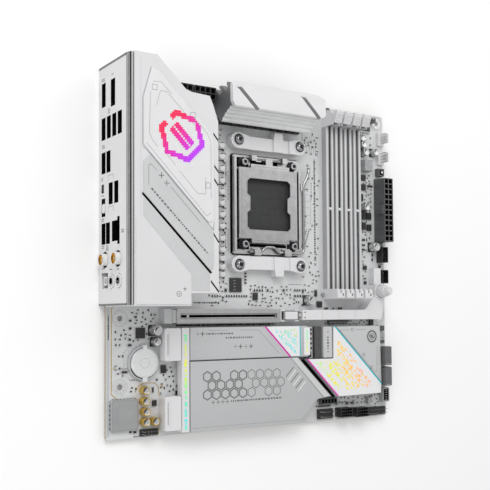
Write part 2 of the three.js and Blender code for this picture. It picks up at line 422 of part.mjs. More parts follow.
// ---------------------------------------------------------------- battery and sound section
{
  let m = pz(circ(26.6, 49.9, 11.6, 24), T, 4.2).subtract(pz(circ(26.6, 49.9, 10.35, 24), 2.4, 6));
  m = m.add(box(24.6, 28.6, 37.0, 39.4, T, 5.6)).add(box(24.6, 28.6, 60.4, 62.4, T, 5.0));
  node('battery_holder', m, 0xb6b8ba, 0.45, 0.1);
  node('coin_cell', pz(circ(26.6, 49.9, 10.0, 24), 2.4, 5.4).add(pz(circ(26.6, 49.9, 9.2, 24), 5.4, 5.7)), 0xd6d8da, 0.3, 0.9);
}
node('audio_shield', pz(chamf(2.7, 5.4, 22.5, 26.4, 1), T, 4.2), 0xb4b6b8, 0.35, 0.9);
function header(x0, x1, y0, y1, z1, c = BLACK) {
  return box(x0, x1, y0, y1, T, z1).subtract(box(x0 + 0.8, x1 - 0.8, y0 + 0.7, y1 - 0.7, 3.2, z1 + 1));
}
node('front_audio_header', box(24.1, 37.1, 1.1, 5.5, T, 4.2), BLACK, 0.5, 0.0);

// ---------------------------------------------------------------- right and bottom edge connectors
{
  // two right-angle drive ports, mouths facing the board's right edge
  const sata = (y0, y1) => box(231.8, 243.4, y0, y1, T, 9.4).add(box(231.8, 238.4, y0, y1, 9.0, 15.6))
    .subtract(box(238.9, 245, y0 + 1.4, y1 - 1.4, 3.4, 8.2));
  node('sata_port_1', sata(41.2, 55.8), 0x808286, 0.45, 0.0);
  node('sata_port_2', sata(25.0, 39.4), 0x808286, 0.45, 0.0);
}
node('front_usb_header', header(235.8, 242.4, 123.4, 136.0, 8.6), 0x1d1d1f, 0.5, 0.0);
node('front_usb_c_header', header(236.0, 242.6, 106.6, 117.4, 8.4), 0x1d1d1f, 0.5, 0.0);
node('usb_header_1', header(191.2, 203.4, 2.1, 9.3, 9.2), 0x1d1d1f, 0.5, 0.0);
node('usb_header_2', header(207.3, 219.4, 1.4, 8.6, 9.2), 0x1d1d1f, 0.5, 0.0);

// ---------------------------------------------------------------- place the frame
const bb = new THREE.Box3();
group.traverse((o) => { if (o.isMesh) { o.geometry.computeBoundingBox(); bb.union(o.geometry.boundingBox); } });
group.position.set(-(bb.min.x + bb.max.x) / 2, -(bb.min.y + bb.max.y) / 2, -bb.min.z);
group.updateMatrixWorld(true);

export default group;
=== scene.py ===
import json
import math
import random

import bmesh
import bpy
from mathutils import Matrix, Vector


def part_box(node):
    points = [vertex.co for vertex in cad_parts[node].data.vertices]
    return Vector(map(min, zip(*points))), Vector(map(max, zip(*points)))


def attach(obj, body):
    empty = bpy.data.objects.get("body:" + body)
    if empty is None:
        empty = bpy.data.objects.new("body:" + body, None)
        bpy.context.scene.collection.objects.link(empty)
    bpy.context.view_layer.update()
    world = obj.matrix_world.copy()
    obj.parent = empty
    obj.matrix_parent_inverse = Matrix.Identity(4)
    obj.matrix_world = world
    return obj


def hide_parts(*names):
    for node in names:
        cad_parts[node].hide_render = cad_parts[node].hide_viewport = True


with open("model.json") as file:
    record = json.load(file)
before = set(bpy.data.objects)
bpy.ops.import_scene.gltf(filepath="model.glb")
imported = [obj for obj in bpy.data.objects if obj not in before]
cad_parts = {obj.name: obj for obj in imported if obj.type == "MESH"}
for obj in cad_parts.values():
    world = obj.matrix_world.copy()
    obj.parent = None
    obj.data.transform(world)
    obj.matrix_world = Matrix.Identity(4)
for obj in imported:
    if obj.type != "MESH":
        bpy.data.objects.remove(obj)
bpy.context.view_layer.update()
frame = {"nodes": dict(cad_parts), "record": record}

NODES = frame["nodes"]
ROOT = "board"
BODY = {}
for _b, _ns in frame["record"]["behaviour"]["bodies"].items():
    for _n in _ns:
        BODY[_n] = _b

# Board coordinates in millimetres (corner of the board, z = 0 on its underside) to the row frame in metres.
_lo, _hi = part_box("pcb")
OX, OY, OZ = _lo.x * 1000.0, _lo.y * 1000.0, 2.2
T = 1.6


def W(x, y, z):
    return Vector(((x + OX) / 1000.0, (y + OY) / 1000.0, (z + OZ) / 1000.0))


def mm(v):
    return (v[0] * 1000.0 - OX, v[1] * 1000.0 - OY, v[2] * 1000.0 - OZ)


rng = random.Random(4211)


# ------------------------------------------------------------------ materials
def _n(nt, kind, x=0, y=0, **kw):
    n = nt.nodes.new(kind)
    n.location = (x, y)
    for k, v in kw.items():
        setattr(n, k, v)
    return n


def material(name, color, rough=0.5, metal=0.0, var=0.035, var_scale=60.0, rvar=0.06, grain=0.0, grain_scale=3500.0,
             brushed=None, brush_depth=0.0, coat=0.0, spec=None, emission=None, strength=0.0, trans=0.0, edge_highlight=0.0,
             sheen=0.0, ior=None, aniso=0.0, alpha=None, tint=None, sub=0.0):
    """A procedural surface: slow colour drift, fine grain or brushing in bump and roughness, and convex edges lightened
    as a painted highlight.
    """
    m = bpy.data.materials.new(name)
    m.use_nodes = True
    nt = m.node_tree
    nt.nodes.clear()
    out = _n(nt, "ShaderNodeOutputMaterial", 900, 0)
    bsdf = _n(nt, "ShaderNodeBsdfPrincipled", 600, 0)
    nt.links.new(bsdf.outputs[0], out.inputs[0])
    bsdf.inputs["Metallic"].default_value = metal
    if coat:
        bsdf.inputs["Coat Weight"].default_value = coat
        bsdf.inputs["Coat Roughness"].default_value = 0.12
    if spec is not None:
        bsdf.inputs["Specular IOR Level"].default_value = spec
    if ior is not None:
        bsdf.inputs["IOR"].default_value = ior
    if trans:
        bsdf.inputs["Transmission Weight"].default_value = trans
    if sub:
        bsdf.inputs["Subsurface Weight"].default_value = sub
        bsdf.inputs["Subsurface Radius"].default_value = (0.002, 0.002, 0.002)
    if emission:
        bsdf.inputs["Emission Color"].default_value = (*emission, 1)
        bsdf.inputs["Emission Strength"].default_value = strength
    if aniso:
        bsdf.inputs["Anisotropic"].default_value = aniso
    tc = _n(nt, "ShaderNodeTexCoord", -1100, 0)
    # slow colour drift
    slow = _n(nt, "ShaderNodeTexNoise", -700, 200)
    slow.inputs["Scale"].default_value = var_scale
    slow.inputs["Detail"].default_value = 4
    slow.inputs["Roughness"].default_value = 0.6
    nt.links.new(tc.outputs["Object"], slow.inputs["Vector"])
    mix = _n(nt, "ShaderNodeMix", -300, 200, data_type="RGBA")
    c = color
    d = tint if tint else tuple(max(0.0, q * (1 - 2 * var)) for q in c)
    mix.inputs[6].default_value = (*c, 1)
    mix.inputs[7].default_value = (*d, 1)
    ramp = _n(nt, "ShaderNodeMapRange", -500, 200)
    ramp.inputs["From Min"].default_value = 0.35
    ramp.inputs["From Max"].default_value = 0.68
    nt.links.new(slow.outputs["Fac"], ramp.inputs["Value"])
    nt.links.new(ramp.outputs["Result"], mix.inputs[0])
    col = mix.outputs[2]
    # fine grain, or brushing drawn out along one axis
    fine = _n(nt, "ShaderNodeTexNoise", -700, -200)
    if brushed is not None:
        mp = _n(nt, "ShaderNodeMapping", -900, -200)
        mp.inputs["Scale"].default_value = tuple(0.03 if i == brushed else 1.0 for i in range(3))
        nt.links.new(tc.outputs["Object"], mp.inputs["Vector"])
        nt.links.new(mp.outputs["Vector"], fine.inputs["Vector"])
        fine.inputs["Scale"].default_value = 4200.0
        fine.inputs["Detail"].default_value = 5
    else:
        nt.links.new(tc.outputs["Object"], fine.inputs["Vector"])
        fine.inputs["Scale"].default_value = grain_scale
        fine.inputs["Detail"].default_value = 3
    rr = _n(nt, "ShaderNodeMapRange", -300, -100)
    rr.inputs["From Min"].default_value = 0.3
    rr.inputs["From Max"].default_value = 0.7
    rr.inputs["To Min"].default_value = max(0.03, rough - rvar)
    rr.inputs["To Max"].default_value = min(1.0, rough + rvar)
    nt.links.new(fine.outputs["Fac"], rr.inputs["Value"])
    add = _n(nt, "ShaderNodeMath", -100, -100, operation="MULTIPLY_ADD")
    nt.links.new(slow.outputs["Fac"], add.inputs[0])
    add.inputs[1].default_value = rvar
    nt.links.new(rr.outputs["Result"], add.inputs[2])
    nt.links.new(add.outputs[0], bsdf.inputs["Roughness"])
    depth = brush_depth if brushed is not None else grain
    if depth:
        bump = _n(nt, "ShaderNodeBump", 300, -300)
        bump.inputs["Strength"].default_value = min(1.0, depth)
        bump.inputs["Distance"].default_value = 0.00006
        nt.links.new(fine.outputs["Fac"], bump.inputs["Height"])
        nt.links.new(bump.outputs["Normal"], bsdf.inputs["Normal"])
    # painted highlight: convex edges, found by pointiness, are lightened
    if edge_highlight:
        geo = _n(nt, "ShaderNodeNewGeometry", -500, 500)
        wr = _n(nt, "ShaderNodeMapRange", -300, 500)
        wr.inputs["From Min"].default_value = 0.52
        wr.inputs["From Max"].default_value = 0.60
        wr.inputs["To Max"].default_value = edge_highlight
        nt.links.new(geo.outputs["Pointiness"], wr.inputs["Value"])
        wm = _n(nt, "ShaderNodeMix", 0, 300, data_type="RGBA")
        wm.inputs[7].default_value = (min(1, c[0] * 1.25 + 0.06), min(1, c[1] * 1.25 + 0.06), min(1, c[2] * 1.25 + 0.06), 1)
        nt.links.new(wr.outputs["Result"], wm.inputs[0])
        nt.links.new(col, wm.inputs[6])
        col = wm.outputs[2]
    nt.links.new(col, bsdf.inputs["Base Color"])
    m["base_mix"] = 1
    return m


WHITE = (0.80, 0.80, 0.81)
M = {}
M["pcb"] = material("solder_mask_white", (0.64, 0.645, 0.65), 0.42, var=0.05, var_scale=45, grain=0.25, grain_scale=1400, coat=0.15)
M["fr4"] = material("board_edge_tan", (0.42, 0.34, 0.19), 0.75, var=0.2, var_scale=900, grain=0.6, grain_scale=5000)
M["silk"] = material("printed_mark_dark", (0.045, 0.045, 0.05), 0.6, var=0.15, var_scale=900)
M["silk_grey"] = material("printed_mark_grey", (0.30, 0.30, 0.31), 0.6, var=0.15, var_scale=900)
M["tin"] = material("tinned_copper", (0.74, 0.745, 0.745), 0.3, 0.5, var=0.12, var_scale=700, grain=0.3, grain_scale=2600)
M["gold"] = material("gold_plating", (0.80, 0.60, 0.26), 0.24, 1.0, var=0.10, var_scale=500, grain=0.15)
M["copper_trace"] = material("bare_gold_trace", (0.60, 0.44, 0.18), 0.4, 0.8, var=0.15, var_scale=600)
M["plate"] = material("plate_paint_white", (0.70, 0.70, 0.705), 0.45, var=0.02, var_scale=25, grain=0.35, grain_scale=2600, coat=0.05)
# painted shade: the plate's flanges, seen in shadow, are drawn darker than the white paint
M["plate_rim"] = material("plate_flange_painted_shade", (0.60, 0.60, 0.605), 0.42, 0.3, brushed=1, brush_depth=0.3)
M["shroud"] = material("shroud_white", (0.69, 0.69, 0.70), 0.46, var=0.02, var_scale=22, grain=0.45, grain_scale=2800)
M["cover"] = material("cover_paint_white", (0.71, 0.71, 0.72), 0.36, var=0.02, var_scale=30, grain=0.25, grain_scale=2400, coat=0.1)
M["panel"] = material("milky_panel", (0.74, 0.74, 0.75), 0.24, var=0.02, var_scale=40, grain=0.08, coat=0.5, sub=0.25)
M["band"] = material("satin_band", (0.60, 0.605, 0.61), 0.40, 0.2, var=0.04, var_scale=35, brushed=0, brush_depth=0.25)
M["hs_dark"] = material("anodised_dark", (0.105, 0.107, 0.11), 0.42, 0.65, var=0.10, var_scale=120, brushed=0, brush_depth=0.5, edge_highlight=0.35)
M["hs_grey"] = material("machined_grey", (0.44, 0.445, 0.45), 0.34, 0.75, var=0.06, var_scale=120, brushed=0, brush_depth=0.5, edge_highlight=0.3)
M["hs_silver"] = material("bead_blasted_silver", (0.50, 0.505, 0.51), 0.46, 0.35, var=0.012, var_scale=40, grain=0.9, grain_scale=2600, edge_highlight=0.25)
M["hs_light"] = material("pale_satin_plate", (0.58, 0.585, 0.59), 0.44, 0.3, var=0.012, var_scale=60, grain=0.5, grain_scale=2600)
M["steel"] = material("brushed_steel", (0.46, 0.46, 0.465), 0.30, 1.0, var=0.08, var_scale=200, brushed=0, brush_depth=0.55, edge_highlight=0.3)
M["steel_y"] = material("brushed_steel_long", (0.40, 0.40, 0.405), 0.28, 1.0, var=0.08, var_scale=200, brushed=1, brush_depth=0.5, edge_highlight=0.3)
M["chrome"] = material("bright_steel", (0.42, 0.42, 0.43), 0.22, 1.0, var=0.06, var_scale=400, grain=0.15)
# dark steel for the backplate screws, and painted shade in screw recesses
M["screw_dark"] = material("blackened_steel_and_recess_shade", (0.05, 0.05, 0.055), 0.3, 0.9, var=0.2, var_scale=600, grain=0.3)
M["black"] = material("black_plastic", (0.012, 0.012, 0.013), 0.42, var=0.2, var_scale=200, grain=0.5, grain_scale=2200, edge_highlight=0.05)
# near-black for real black parts and for painted shade in cavities, gaps and recesses
M["void_and_shade"] = material("black_cavity_and_painted_shade", (0.003, 0.003, 0.003), 0.9, var=0.2, var_scale=400, spec=0.05)
M["grey_pl"] = material("grey_plastic", (0.075, 0.076, 0.078), 0.44, var=0.08, var_scale=150, grain=0.5, grain_scale=2200, edge_highlight=0.12)
M["sata_pl"] = material("sata_grey", (0.12, 0.122, 0.126), 0.46, var=0.06, var_scale=150, grain=0.5, grain_scale=2200, edge_highlight=0.1)
M["dark_pl"] = material("dark_socket_plastic", (0.045, 0.046, 0.048), 0.5, var=0.1, var_scale=300, grain=0.4, grain_scale=2600)
M["white_pl"] = material("glossy_white_plastic", (0.70, 0.70, 0.71), 0.30, var=0.015, var_scale=40, grain=0.15, grain_scale=1800, coat=0.35, sub=0.05)
M["silver_pl"] = material("silver_grey_plastic", (0.52, 0.525, 0.53), 0.38, 0.2, var=0.015, var_scale=60, grain=0.2, grain_scale=2600)
M["slot_dark"] = material("slot_shadow_plastic", (0.10, 0.10, 0.105), 0.5, var=0.1, var_scale=300)
M["chip"] = material("chip_epoxy", (0.022, 0.022, 0.024), 0.5, var=0.15, var_scale=500, grain=0.6, grain_scale=5200)
M["choke"] = material("inductor_grey", (0.36, 0.365, 0.37), 0.5, 0.2, var=0.10, var_scale=300, grain=0.8, grain_scale=4000, edge_highlight=0.2)
M["mlcc"] = material("ceramic_dark", (0.15, 0.135, 0.12), 0.5, var=0.15, var_scale=800)
M["cap_can"] = material("capacitor_can", (0.62, 0.625, 0.63), 0.26, 0.85, var=0.05, var_scale=200, grain=0.1)
M["cell"] = material("cell_steel", (0.80, 0.805, 0.81), 0.3, 0.45, var=0.02, var_scale=60, grain=0.06, grain_scale=1600)


M["nickel"] = material("nickel_plate", (0.74, 0.735, 0.72), 0.4, 0.0, var=0.04, var_scale=300, grain=0.2)
M["seal"] = material("dark_seal", (0.06, 0.06, 0.063), 0.55, var=0.12, var_scale=400, grain=0.4)
# dark grey for printed lines and for painted shade along edges and in grooves
M["line"] = material("grey_line_and_painted_shade", (0.16, 0.16, 0.165), 0.5, var=0.1, var_scale=500)
# pale grey for engraved lines and for painted shade on the memory slots' left walls
M["line_soft"] = material("pale_line_and_painted_shade", (0.40, 0.40, 0.41), 0.5, var=0.06, var_scale=500)
M["white_ink"] = material("printed_white", (0.78, 0.78, 0.79), 0.5, var=0.02, var_scale=300)
M["gloss_white"] = material("glossy_white_inlay", (0.80, 0.80, 0.81), 0.18, var=0.012, var_scale=80, coat=0.6)
# painted glow: these printed strips emit a little light though they are no lamps
M["magenta"] = material("magenta_strip_painted_glow", (0.62, 0.0, 0.36), 0.35, var=0.04, var_scale=300, emission=(0.85, 0.0, 0.5), strength=0.18)
M["cyan"] = material("cyan_strip_painted_glow", (0.02, 0.50, 0.56), 0.35, var=0.04, var_scale=300, emission=(0.02, 0.6, 0.7), strength=0.12)
M["dark_contact"] = material("contact_rows", (0.062, 0.063, 0.063), 0.45, 0.3, var=0.12, var_scale=500, grain=0.3)
M["mark_grey"] = material("printed_mark_mid", (0.17, 0.172, 0.175), 0.5, var=0.05, var_scale=200)
M["silver_light"] = material("pale_slot_plastic", (0.62, 0.625, 0.63), 0.4, 0.15, var=0.015, var_scale=60, grain=0.2)
M["dark_grey_pl"] = material("grey_connector_plastic", (0.088, 0.09, 0.093), 0.45, var=0.06, var_scale=250, grain=0.3, grain_scale=2600)
M["eps_black"] = material("power_connector_black", (0.022, 0.022, 0.023), 0.42, var=0.1, var_scale=250, grain=0.3, grain_scale=2600)
M["hs_mid"] = material("anodised_mid", (0.20, 0.203, 0.208), 0.42, 0.4, var=0.08, var_scale=120, brushed=0, brush_depth=0.5, edge_highlight=0.3)
M["hs_pale"] = material("machined_pale", (0.86, 0.865, 0.87), 0.45, 0.0, var=0.05, var_scale=120, brushed=0, brush_depth=0.4, edge_highlight=0.2)
M["steel_dim"] = material("shaded_steel", (0.30, 0.30, 0.305), 0.38, 0.9, var=0.1, var_scale=240, grain=0.35)
M["pin"] = material("pin_tin", (0.62, 0.61, 0.58), 0.26, 1.0, var=0.06, var_scale=600)
M["sleeve"] = material("gold_sleeve", (0.62, 0.40, 0.06), 0.34, 0.35, var=0.12, var_scale=500, grain=0.2, coat=0.3)
M["fan_white"] = material("white_header_plastic", (0.68, 0.68, 0.68), 0.42, var=0.02, var_scale=200, grain=0.3)


def colour_run(name, stops, direction, span, rough=0.35, emit=0.0, base=0.0, jitter=0.15):
    """A surface whose colour runs through the stops along a direction in the object's own space."""
    m = material(name, (0.5, 0.5, 0.5), rough, var=0.02, var_scale=300, coat=0.2)
    nt = m.node_tree
    bsdf = [n for n in nt.nodes if n.type == "BSDF_PRINCIPLED"][0]
    tc = [n for n in nt.nodes if n.type == "TEX_COORD"][0]
    dot = _n(nt, "ShaderNodeVectorMath", -900, 700, operation="DOT_PRODUCT")
    dot.inputs[1].default_value = direction
    nt.links.new(tc.outputs["Object"], dot.inputs[0])
    ns = _n(nt, "ShaderNodeTexNoise", -900, 900)
    ns.inputs["Scale"].default_value = 180.0
    nt.links.new(tc.outputs["Object"], ns.inputs["Vector"])
    mr = _n(nt, "ShaderNodeMapRange", -700, 700)
    mr.inputs["From Min"].default_value = span[0]
    mr.inputs["From Max"].default_value = span[1]
    nt.links.new(dot.outputs["Value"], mr.inputs["Value"])
    ad = _n(nt, "ShaderNodeMath", -500, 700, operation="MULTIPLY_ADD")
    nt.links.new(ns.outputs["Fac"], ad.inputs[0])
    ad.inputs[1].default_value = jitter
    nt.links.new(mr.outputs["Result"], ad.inputs[2])
    cr = _n(nt, "ShaderNodeValToRGB", -300, 700)
    e = cr.color_ramp.elements
    while len(e) > 1:
        e.remove(e[-1])
    for i, (q, c) in enumerate(stops):
        el = e[0] if i == 0 else e.new(q)
        el.position = q
        el.color = (*c, 1)
    nt.links.new(ad.outputs[0], cr.inputs["Fac"])
    for l in list(bsdf.inputs["Base Color"].links):
        nt.links.remove(l)
    nt.links.new(cr.outputs["Color"], bsdf.inputs["Base Color"])
    if emit:
        nt.links.new(cr.outputs["Color"], bsdf.inputs["Emission Color"])
        bsdf.inputs["Emission Strength"].default_value = emit
    return m


M["lit_dots"] = colour_run("lit_dots_red_magenta", [(0.0, (0.78, 0.01, 0.01)), (0.45, (0.72, 0.0, 0.08)), (0.75, (0.62, 0.0, 0.40)), (1.0, (0.42, 0.02, 0.75))],
                           (0.7, -0.7, 0.0), (-0.136, -0.094), emit=0.25)
# painted glow: the iridescent prints emit a little of their own colour though they are no lamps
M["rainbow"] = colour_run("iridescent_print_painted_glow", [(0.0, (0.55, 0.85, 0.10)), (0.22, (0.10, 0.85, 0.45)), (0.42, (0.10, 0.75, 0.80)), (0.6, (0.80, 0.80, 0.05)), (0.8, (0.95, 0.50, 0.10)), (1.0, (0.90, 0.20, 0.60))],
                          (0.8, 0.6, 0.0), (-0.05, 0.06), emit=0.15, jitter=0.35)
M["rainbow_y"] = colour_run("iridescent_strip_painted_glow", [(0.0, (0.10, 0.80, 0.35)), (0.2, (0.10, 0.70, 0.75)), (0.45, (0.15, 0.80, 0.40)), (0.65, (0.55, 0.82, 0.08)), (0.85, (0.90, 0.75, 0.05)), (1.0, (0.15, 0.80, 0.30))],
                            (0.0, 1.0, 0.0), (-0.12, -0.05), emit=0.15, jitter=0.25)


# ------------------------------------------------------------------ mesh building
def rot2(x, y, a):
    return x * math.cos(a) - y * math.sin(a), x * math.sin(a) + y * math.cos(a)


class Build:
    def __init__(self, name):
        self.name = name
        self.v, self.f, self.m, self.s = [], [], [], []

    def raw(self, verts, faces, m=0, smooth=False):
        o = len(self.v)
        self.v += [tuple(q) for q in verts]
        for f in faces:
            self.f.append([i + o for i in f])
            self.m.append(m)
            self.s.append(smooth)

    def prism(self, pts, z0, z1, m=0, top=None, axis="z", taper=0.0, smooth=False, mtop=None):
        """pts counter-clockwise in (x, y); axis 'x' takes (y, z), axis 'y' takes (z, x)."""
        n = len(pts)
        t = top or pts

        def put(p, w):
            if axis == "z":
                return (p[0], p[1], w)
            if axis == "x":
                return (w, p[0], p[1])
            return (p[1], w, p[0])
        vs = [put(p, z0) for p in pts] + [put(p, z1) for p in t]
        self.raw(vs, [list(range(n))[::-1]], m)
        o = len(self.v) - 2 * n
        self.f.append([o + n + i for i in range(n)])
        self.m.append(m if mtop is None else mtop)
        self.s.append(False)
        for i in range(n):
            j = (i + 1) % n
            self.f.append([o + i, o + j, o + n + j, o + n + i])
            self.m.append(m)
            self.s.append(smooth)

    def box(self, x0, x1, y0, y1, z0, z1, m=0, a=0.0, mtop=None, inset=0.0):
        cx, cy = (x0 + x1) / 2, (y0 + y1) / 2
        hx, hy = abs(x1 - x0) / 2, abs(y1 - y0) / 2
        p = [(cx + rot2(u, v, a)[0], cy + rot2(u, v, a)[1]) for u, v in ((-hx, -hy), (hx, -hy), (hx, hy), (-hx, hy))]
        t = None
        if inset:
            t = [(cx + rot2(u, v, a)[0], cy + rot2(u, v, a)[1]) for u, v in
                 ((-hx + inset, -hy + inset), (hx - inset, -hy + inset), (hx - inset, hy - inset), (-hx + inset, hy - inset))]
        self.prism(p, z0, z1, m, top=t, mtop=mtop)

    def cyl(self, cx, cy, z0, z1, r, n=20, m=0, axis="z", r1=None, mtop=None, a0=0.0):
        r1 = r if r1 is None else r1
        p = [(cx + r * math.cos(a0 + 2 * math.pi * i / n), cy + r * math.sin(a0 + 2 * math.pi * i / n)) for i in range(n)]
        t = [(cx + r1 * math.cos(a0 + 2 * math.pi * i / n), cy + r1 * math.sin(a0 + 2 * math.pi * i / n)) for i in range(n)]
        self.prism(p, z0, z1, m, top=t, axis=axis, smooth=n > 8, mtop=mtop)

    def ring(self, cx, cy, z0, z1, r0, r1, n=32, m=0, axis="z"):
        def put(a, r, w):
            p = (cx + r * math.cos(a), cy + r * math.sin(a))
            return (p[0], p[1], w) if axis == "z" else ((w, p[0], p[1]) if axis == "x" else (p[1], w, p[0]))
        vs = []
        for i in range(n):
            a = 2 * math.pi * i / n
            vs += [put(a, r0, z0), put(a, r1, z0), put(a, r1, z1), put(a, r0, z1)]
        fs = []
        for i in range(n):
            a, b = 4 * i, 4 * ((i + 1) % n)
            fs += [[a, b, b + 1, a + 1][::-1] if False else [a, a + 1, b + 1, b][::-1], [a + 1, a + 2, b + 2, b + 1][::-1],
                   [a + 2, a + 3, b + 3, b + 2][::-1], [a + 3, a, b, b + 3][::-1]]
        self.raw(vs, fs, m, True)

    def line(self, pts, w, z0, z1, m=0, closed=False):
        """A raised strip of width w along a polyline with mitred corners."""
        k = len(pts)
        L, R = [], []
        for i in range(k):
            p = Vector((pts[i][0], pts[i][1]))
            a = Vector(pts[i - 1]) if (closed or i > 0) else None
            b = Vector(pts[(i + 1) % k]) if (closed or i < k - 1) else None
            d0 = (p - a).normalized() if a is not None else None
            d1 = (b - p).normalized() if b is not None else None
            d0, d1 = d0 or d1, d1 or d0
            n0, n1 = Vector((-d0.y, d0.x)), Vector((-d1.y, d1.x))
            n = (n0 + n1).normalized()
            q = w / 2 / max(0.4, n.dot(n0))
            L.append(p + n * q)
            R.append(p - n * q)
        for i in range(k if closed else k - 1):
            j = (i + 1) % k
            self.prism([tuple(R[i]), tuple(R[j]), tuple(L[j]), tuple(L[i])], z0, z1, m)

    def plus(self, cx, cy, s, w, z0, z1, m=0, a=0.0, star=False):
        if star:
            p = []
            for i in range(8):
                q = s if i % 2 == 0 else w
                p.append((cx + q * math.cos(a + i * math.pi / 4), cy + q * math.sin(a + i * math.pi / 4)))
            self.prism(p, z0, z1, m)
            return
        o = [(-s, -w), (-w, -w), (-w, -s), (w, -s), (w, -w), (s, -w), (s, w), (w, w), (w, s), (-w, s), (-w, w), (-s, w)]
        self.prism([(cx + rot2(u, v, a)[0], cy + rot2(u, v, a)[1]) for u, v in o], z0, z1, m)

    def ticks(self, x, y, dx, dy, n, z0, z1, m=0, w=0.5, h=0.9, gap=0.45, seed=1):
        """A row of plain dashes of uneven length standing in for printed marking; it spells nothing."""
        q = random.Random(seed)
        L = math.hypot(dx, dy)
        a = math.atan2(dy, dx)
        t = 0.0
        while t < L:
            l = min(L - t, w * q.choice((1.0, 1.6, 2.4)))
            if l < 0.15:
                break
            c = (x + math.cos(a) * (t + l / 2), y + math.sin(a) * (t + l / 2))
            self.box(c[0] - l / 2, c[0] + l / 2, c[1] - h / 2, c[1] + h / 2, z0, z1, m, a)
            t += l + gap

    def lathe(self, cx, cy, prof, n=28, m=0, axis="z", ms=None):
        """prof is (r, w) from the axis at the bottom to the axis at the top."""
        def put(a, r, w):
            p = (cx + r * math.cos(a), cy + r * math.sin(a))
            return (p[0], p[1], w) if axis == "z" else ((w, p[0], p[1]) if axis == "x" else (p[1], w, p[0]))
        o = len(self.v)
        rows = []
        for r, w in prof:
            if r < 1e-6:
                self.v.append(put(0, 0, w))
                rows.append([len(self.v) - 1] * n)
            else:
                b = len(self.v)
                self.v += [put(2 * math.pi * i / n, r, w) for i in range(n)]
                rows.append(list(range(b, b + n)))
        for k in range(len(rows) - 1):
            mk = ms[k] if ms else m
            for i in range(n):
                j = (i + 1) % n
                q = [rows[k][i], rows[k][j], rows[k + 1][j], rows[k + 1][i]]
                u = []
                for x in q:
                    if x not in u:
                        u.append(x)
                if len(u) >= 3:
                    self.f.append(u)
                    self.m.append(mk)
                    self.s.append(True)

    def tube(self, path, r, n=8, m=0, closed=False):
        P = [Vector(p) for p in path]
        k = len(P)
        up = Vector((0, 0, 1))
        rings = []
        for i, p in enumerate(P):
            if closed:
                d = (P[(i + 1) % k] - P[i - 1]).normalized()
            else:
                d = (P[min(i + 1, k - 1)] - P[max(i - 1, 0)]).normalized()
            u = up if abs(d.dot(up)) < 0.9 else Vector((0, 1, 0))
            a = d.cross(u).normalized()
            b = a.cross(d).normalized()
            base = len(self.v)
            self.v += [tuple(p + r * (math.cos(2 * math.pi * j / n) * a + math.sin(2 * math.pi * j / n) * b)) for j in range(n)]
            rings.append(base)
        for i in range(k if closed else k - 1):
            A, B = rings[i], rings[(i + 1) % k]
            for j in range(n):
                l = (j + 1) % n
                self.f.append([A + j, A + l, B + l, B + j])
                self.m.append(m)
                self.s.append(True)
        if not closed:
            self.f.append([rings[0] + j for j in range(n)][::-1])
            self.m.append(m)
            self.s.append(False)
            self.f.append([rings[-1] + j for j in range(n)])
            self.m.append(m)
            self.s.append(False)

    def done(self, mats, body=ROOT, bevel=0.0, segs=2, angle=32, slot=None, replaces=(), smooth=True):
        me = bpy.data.meshes.new(self.name)
        me.from_pydata([W(*q) for q in self.v], [], self.f)
        for k in mats:
            me.materials.append(M[k])
        me.polygons.foreach_set("material_index", self.m)
        me.polygons.foreach_set("use_smooth", [True] * len(self.f) if smooth else self.s)
        bm = bmesh.new()
        bm.from_mesh(me)
        bmesh.ops.recalc_face_normals(bm, faces=bm.faces)
        bm.to_mesh(me)
        bm.free()
        me.update()
        return place(self.name, me, body, bevel, segs, angle, slot, replaces)


SLOT_OF = {"plate_print": "plate_white", "panel_print": "panel_milky", "shroud_print": "shroud_white", "cover_print": "cover_white", "screws": "steel_bright",
           "socket_steel": "steel", "plate_steel": "steel", "contacts": "plastic_dark", "inductors": "plastic_grey", "capacitors": "plastic_white",
           "print": "pcb_white", "chips": "plastic_black", "pins": "steel_bright", "gold": "brass", "heatsink_print": "heatsink_silver", "cans": "steel_bright"}


def place(name, me, body, bevel=0.0, segs=2, angle=32, slot=None, replaces=()):
    slot = SLOT_OF.get(slot, slot)
    ob = bpy.data.objects.new(name, me)
    bpy.context.scene.collection.objects.link(ob)
    if bevel:
        b = ob.modifiers.new("edge", "BEVEL")
        b.width = bevel / 1000.0
        b.segments = segs
        b.limit_method = "ANGLE"
        b.angle_limit = math.radians(angle)
        b.use_clamp_overlap = True
        b.harden_normals = False
        b.miter_outer = "MITER_ARC"
    w = ob.modifiers.new("shade", "WEIGHTED_NORMAL")
    w.weight = 80
    w.keep_sharp = True
    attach(ob, body)
    if replaces:
        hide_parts(*replaces)
    return ob


def tri_area(bm):
    """Area of the triangles that are really drawn, counting a flipped one against its face."""
    t = 0.0
    for tri in bm.calc_loop_triangles():
        u, v, w = (l.vert.co for l in tri)
        c = (v - u).cross(w - u) * 0.5
        t += c.length if c.dot(tri[0].face.normal) >= 0 else c.length * 3.0
    return t


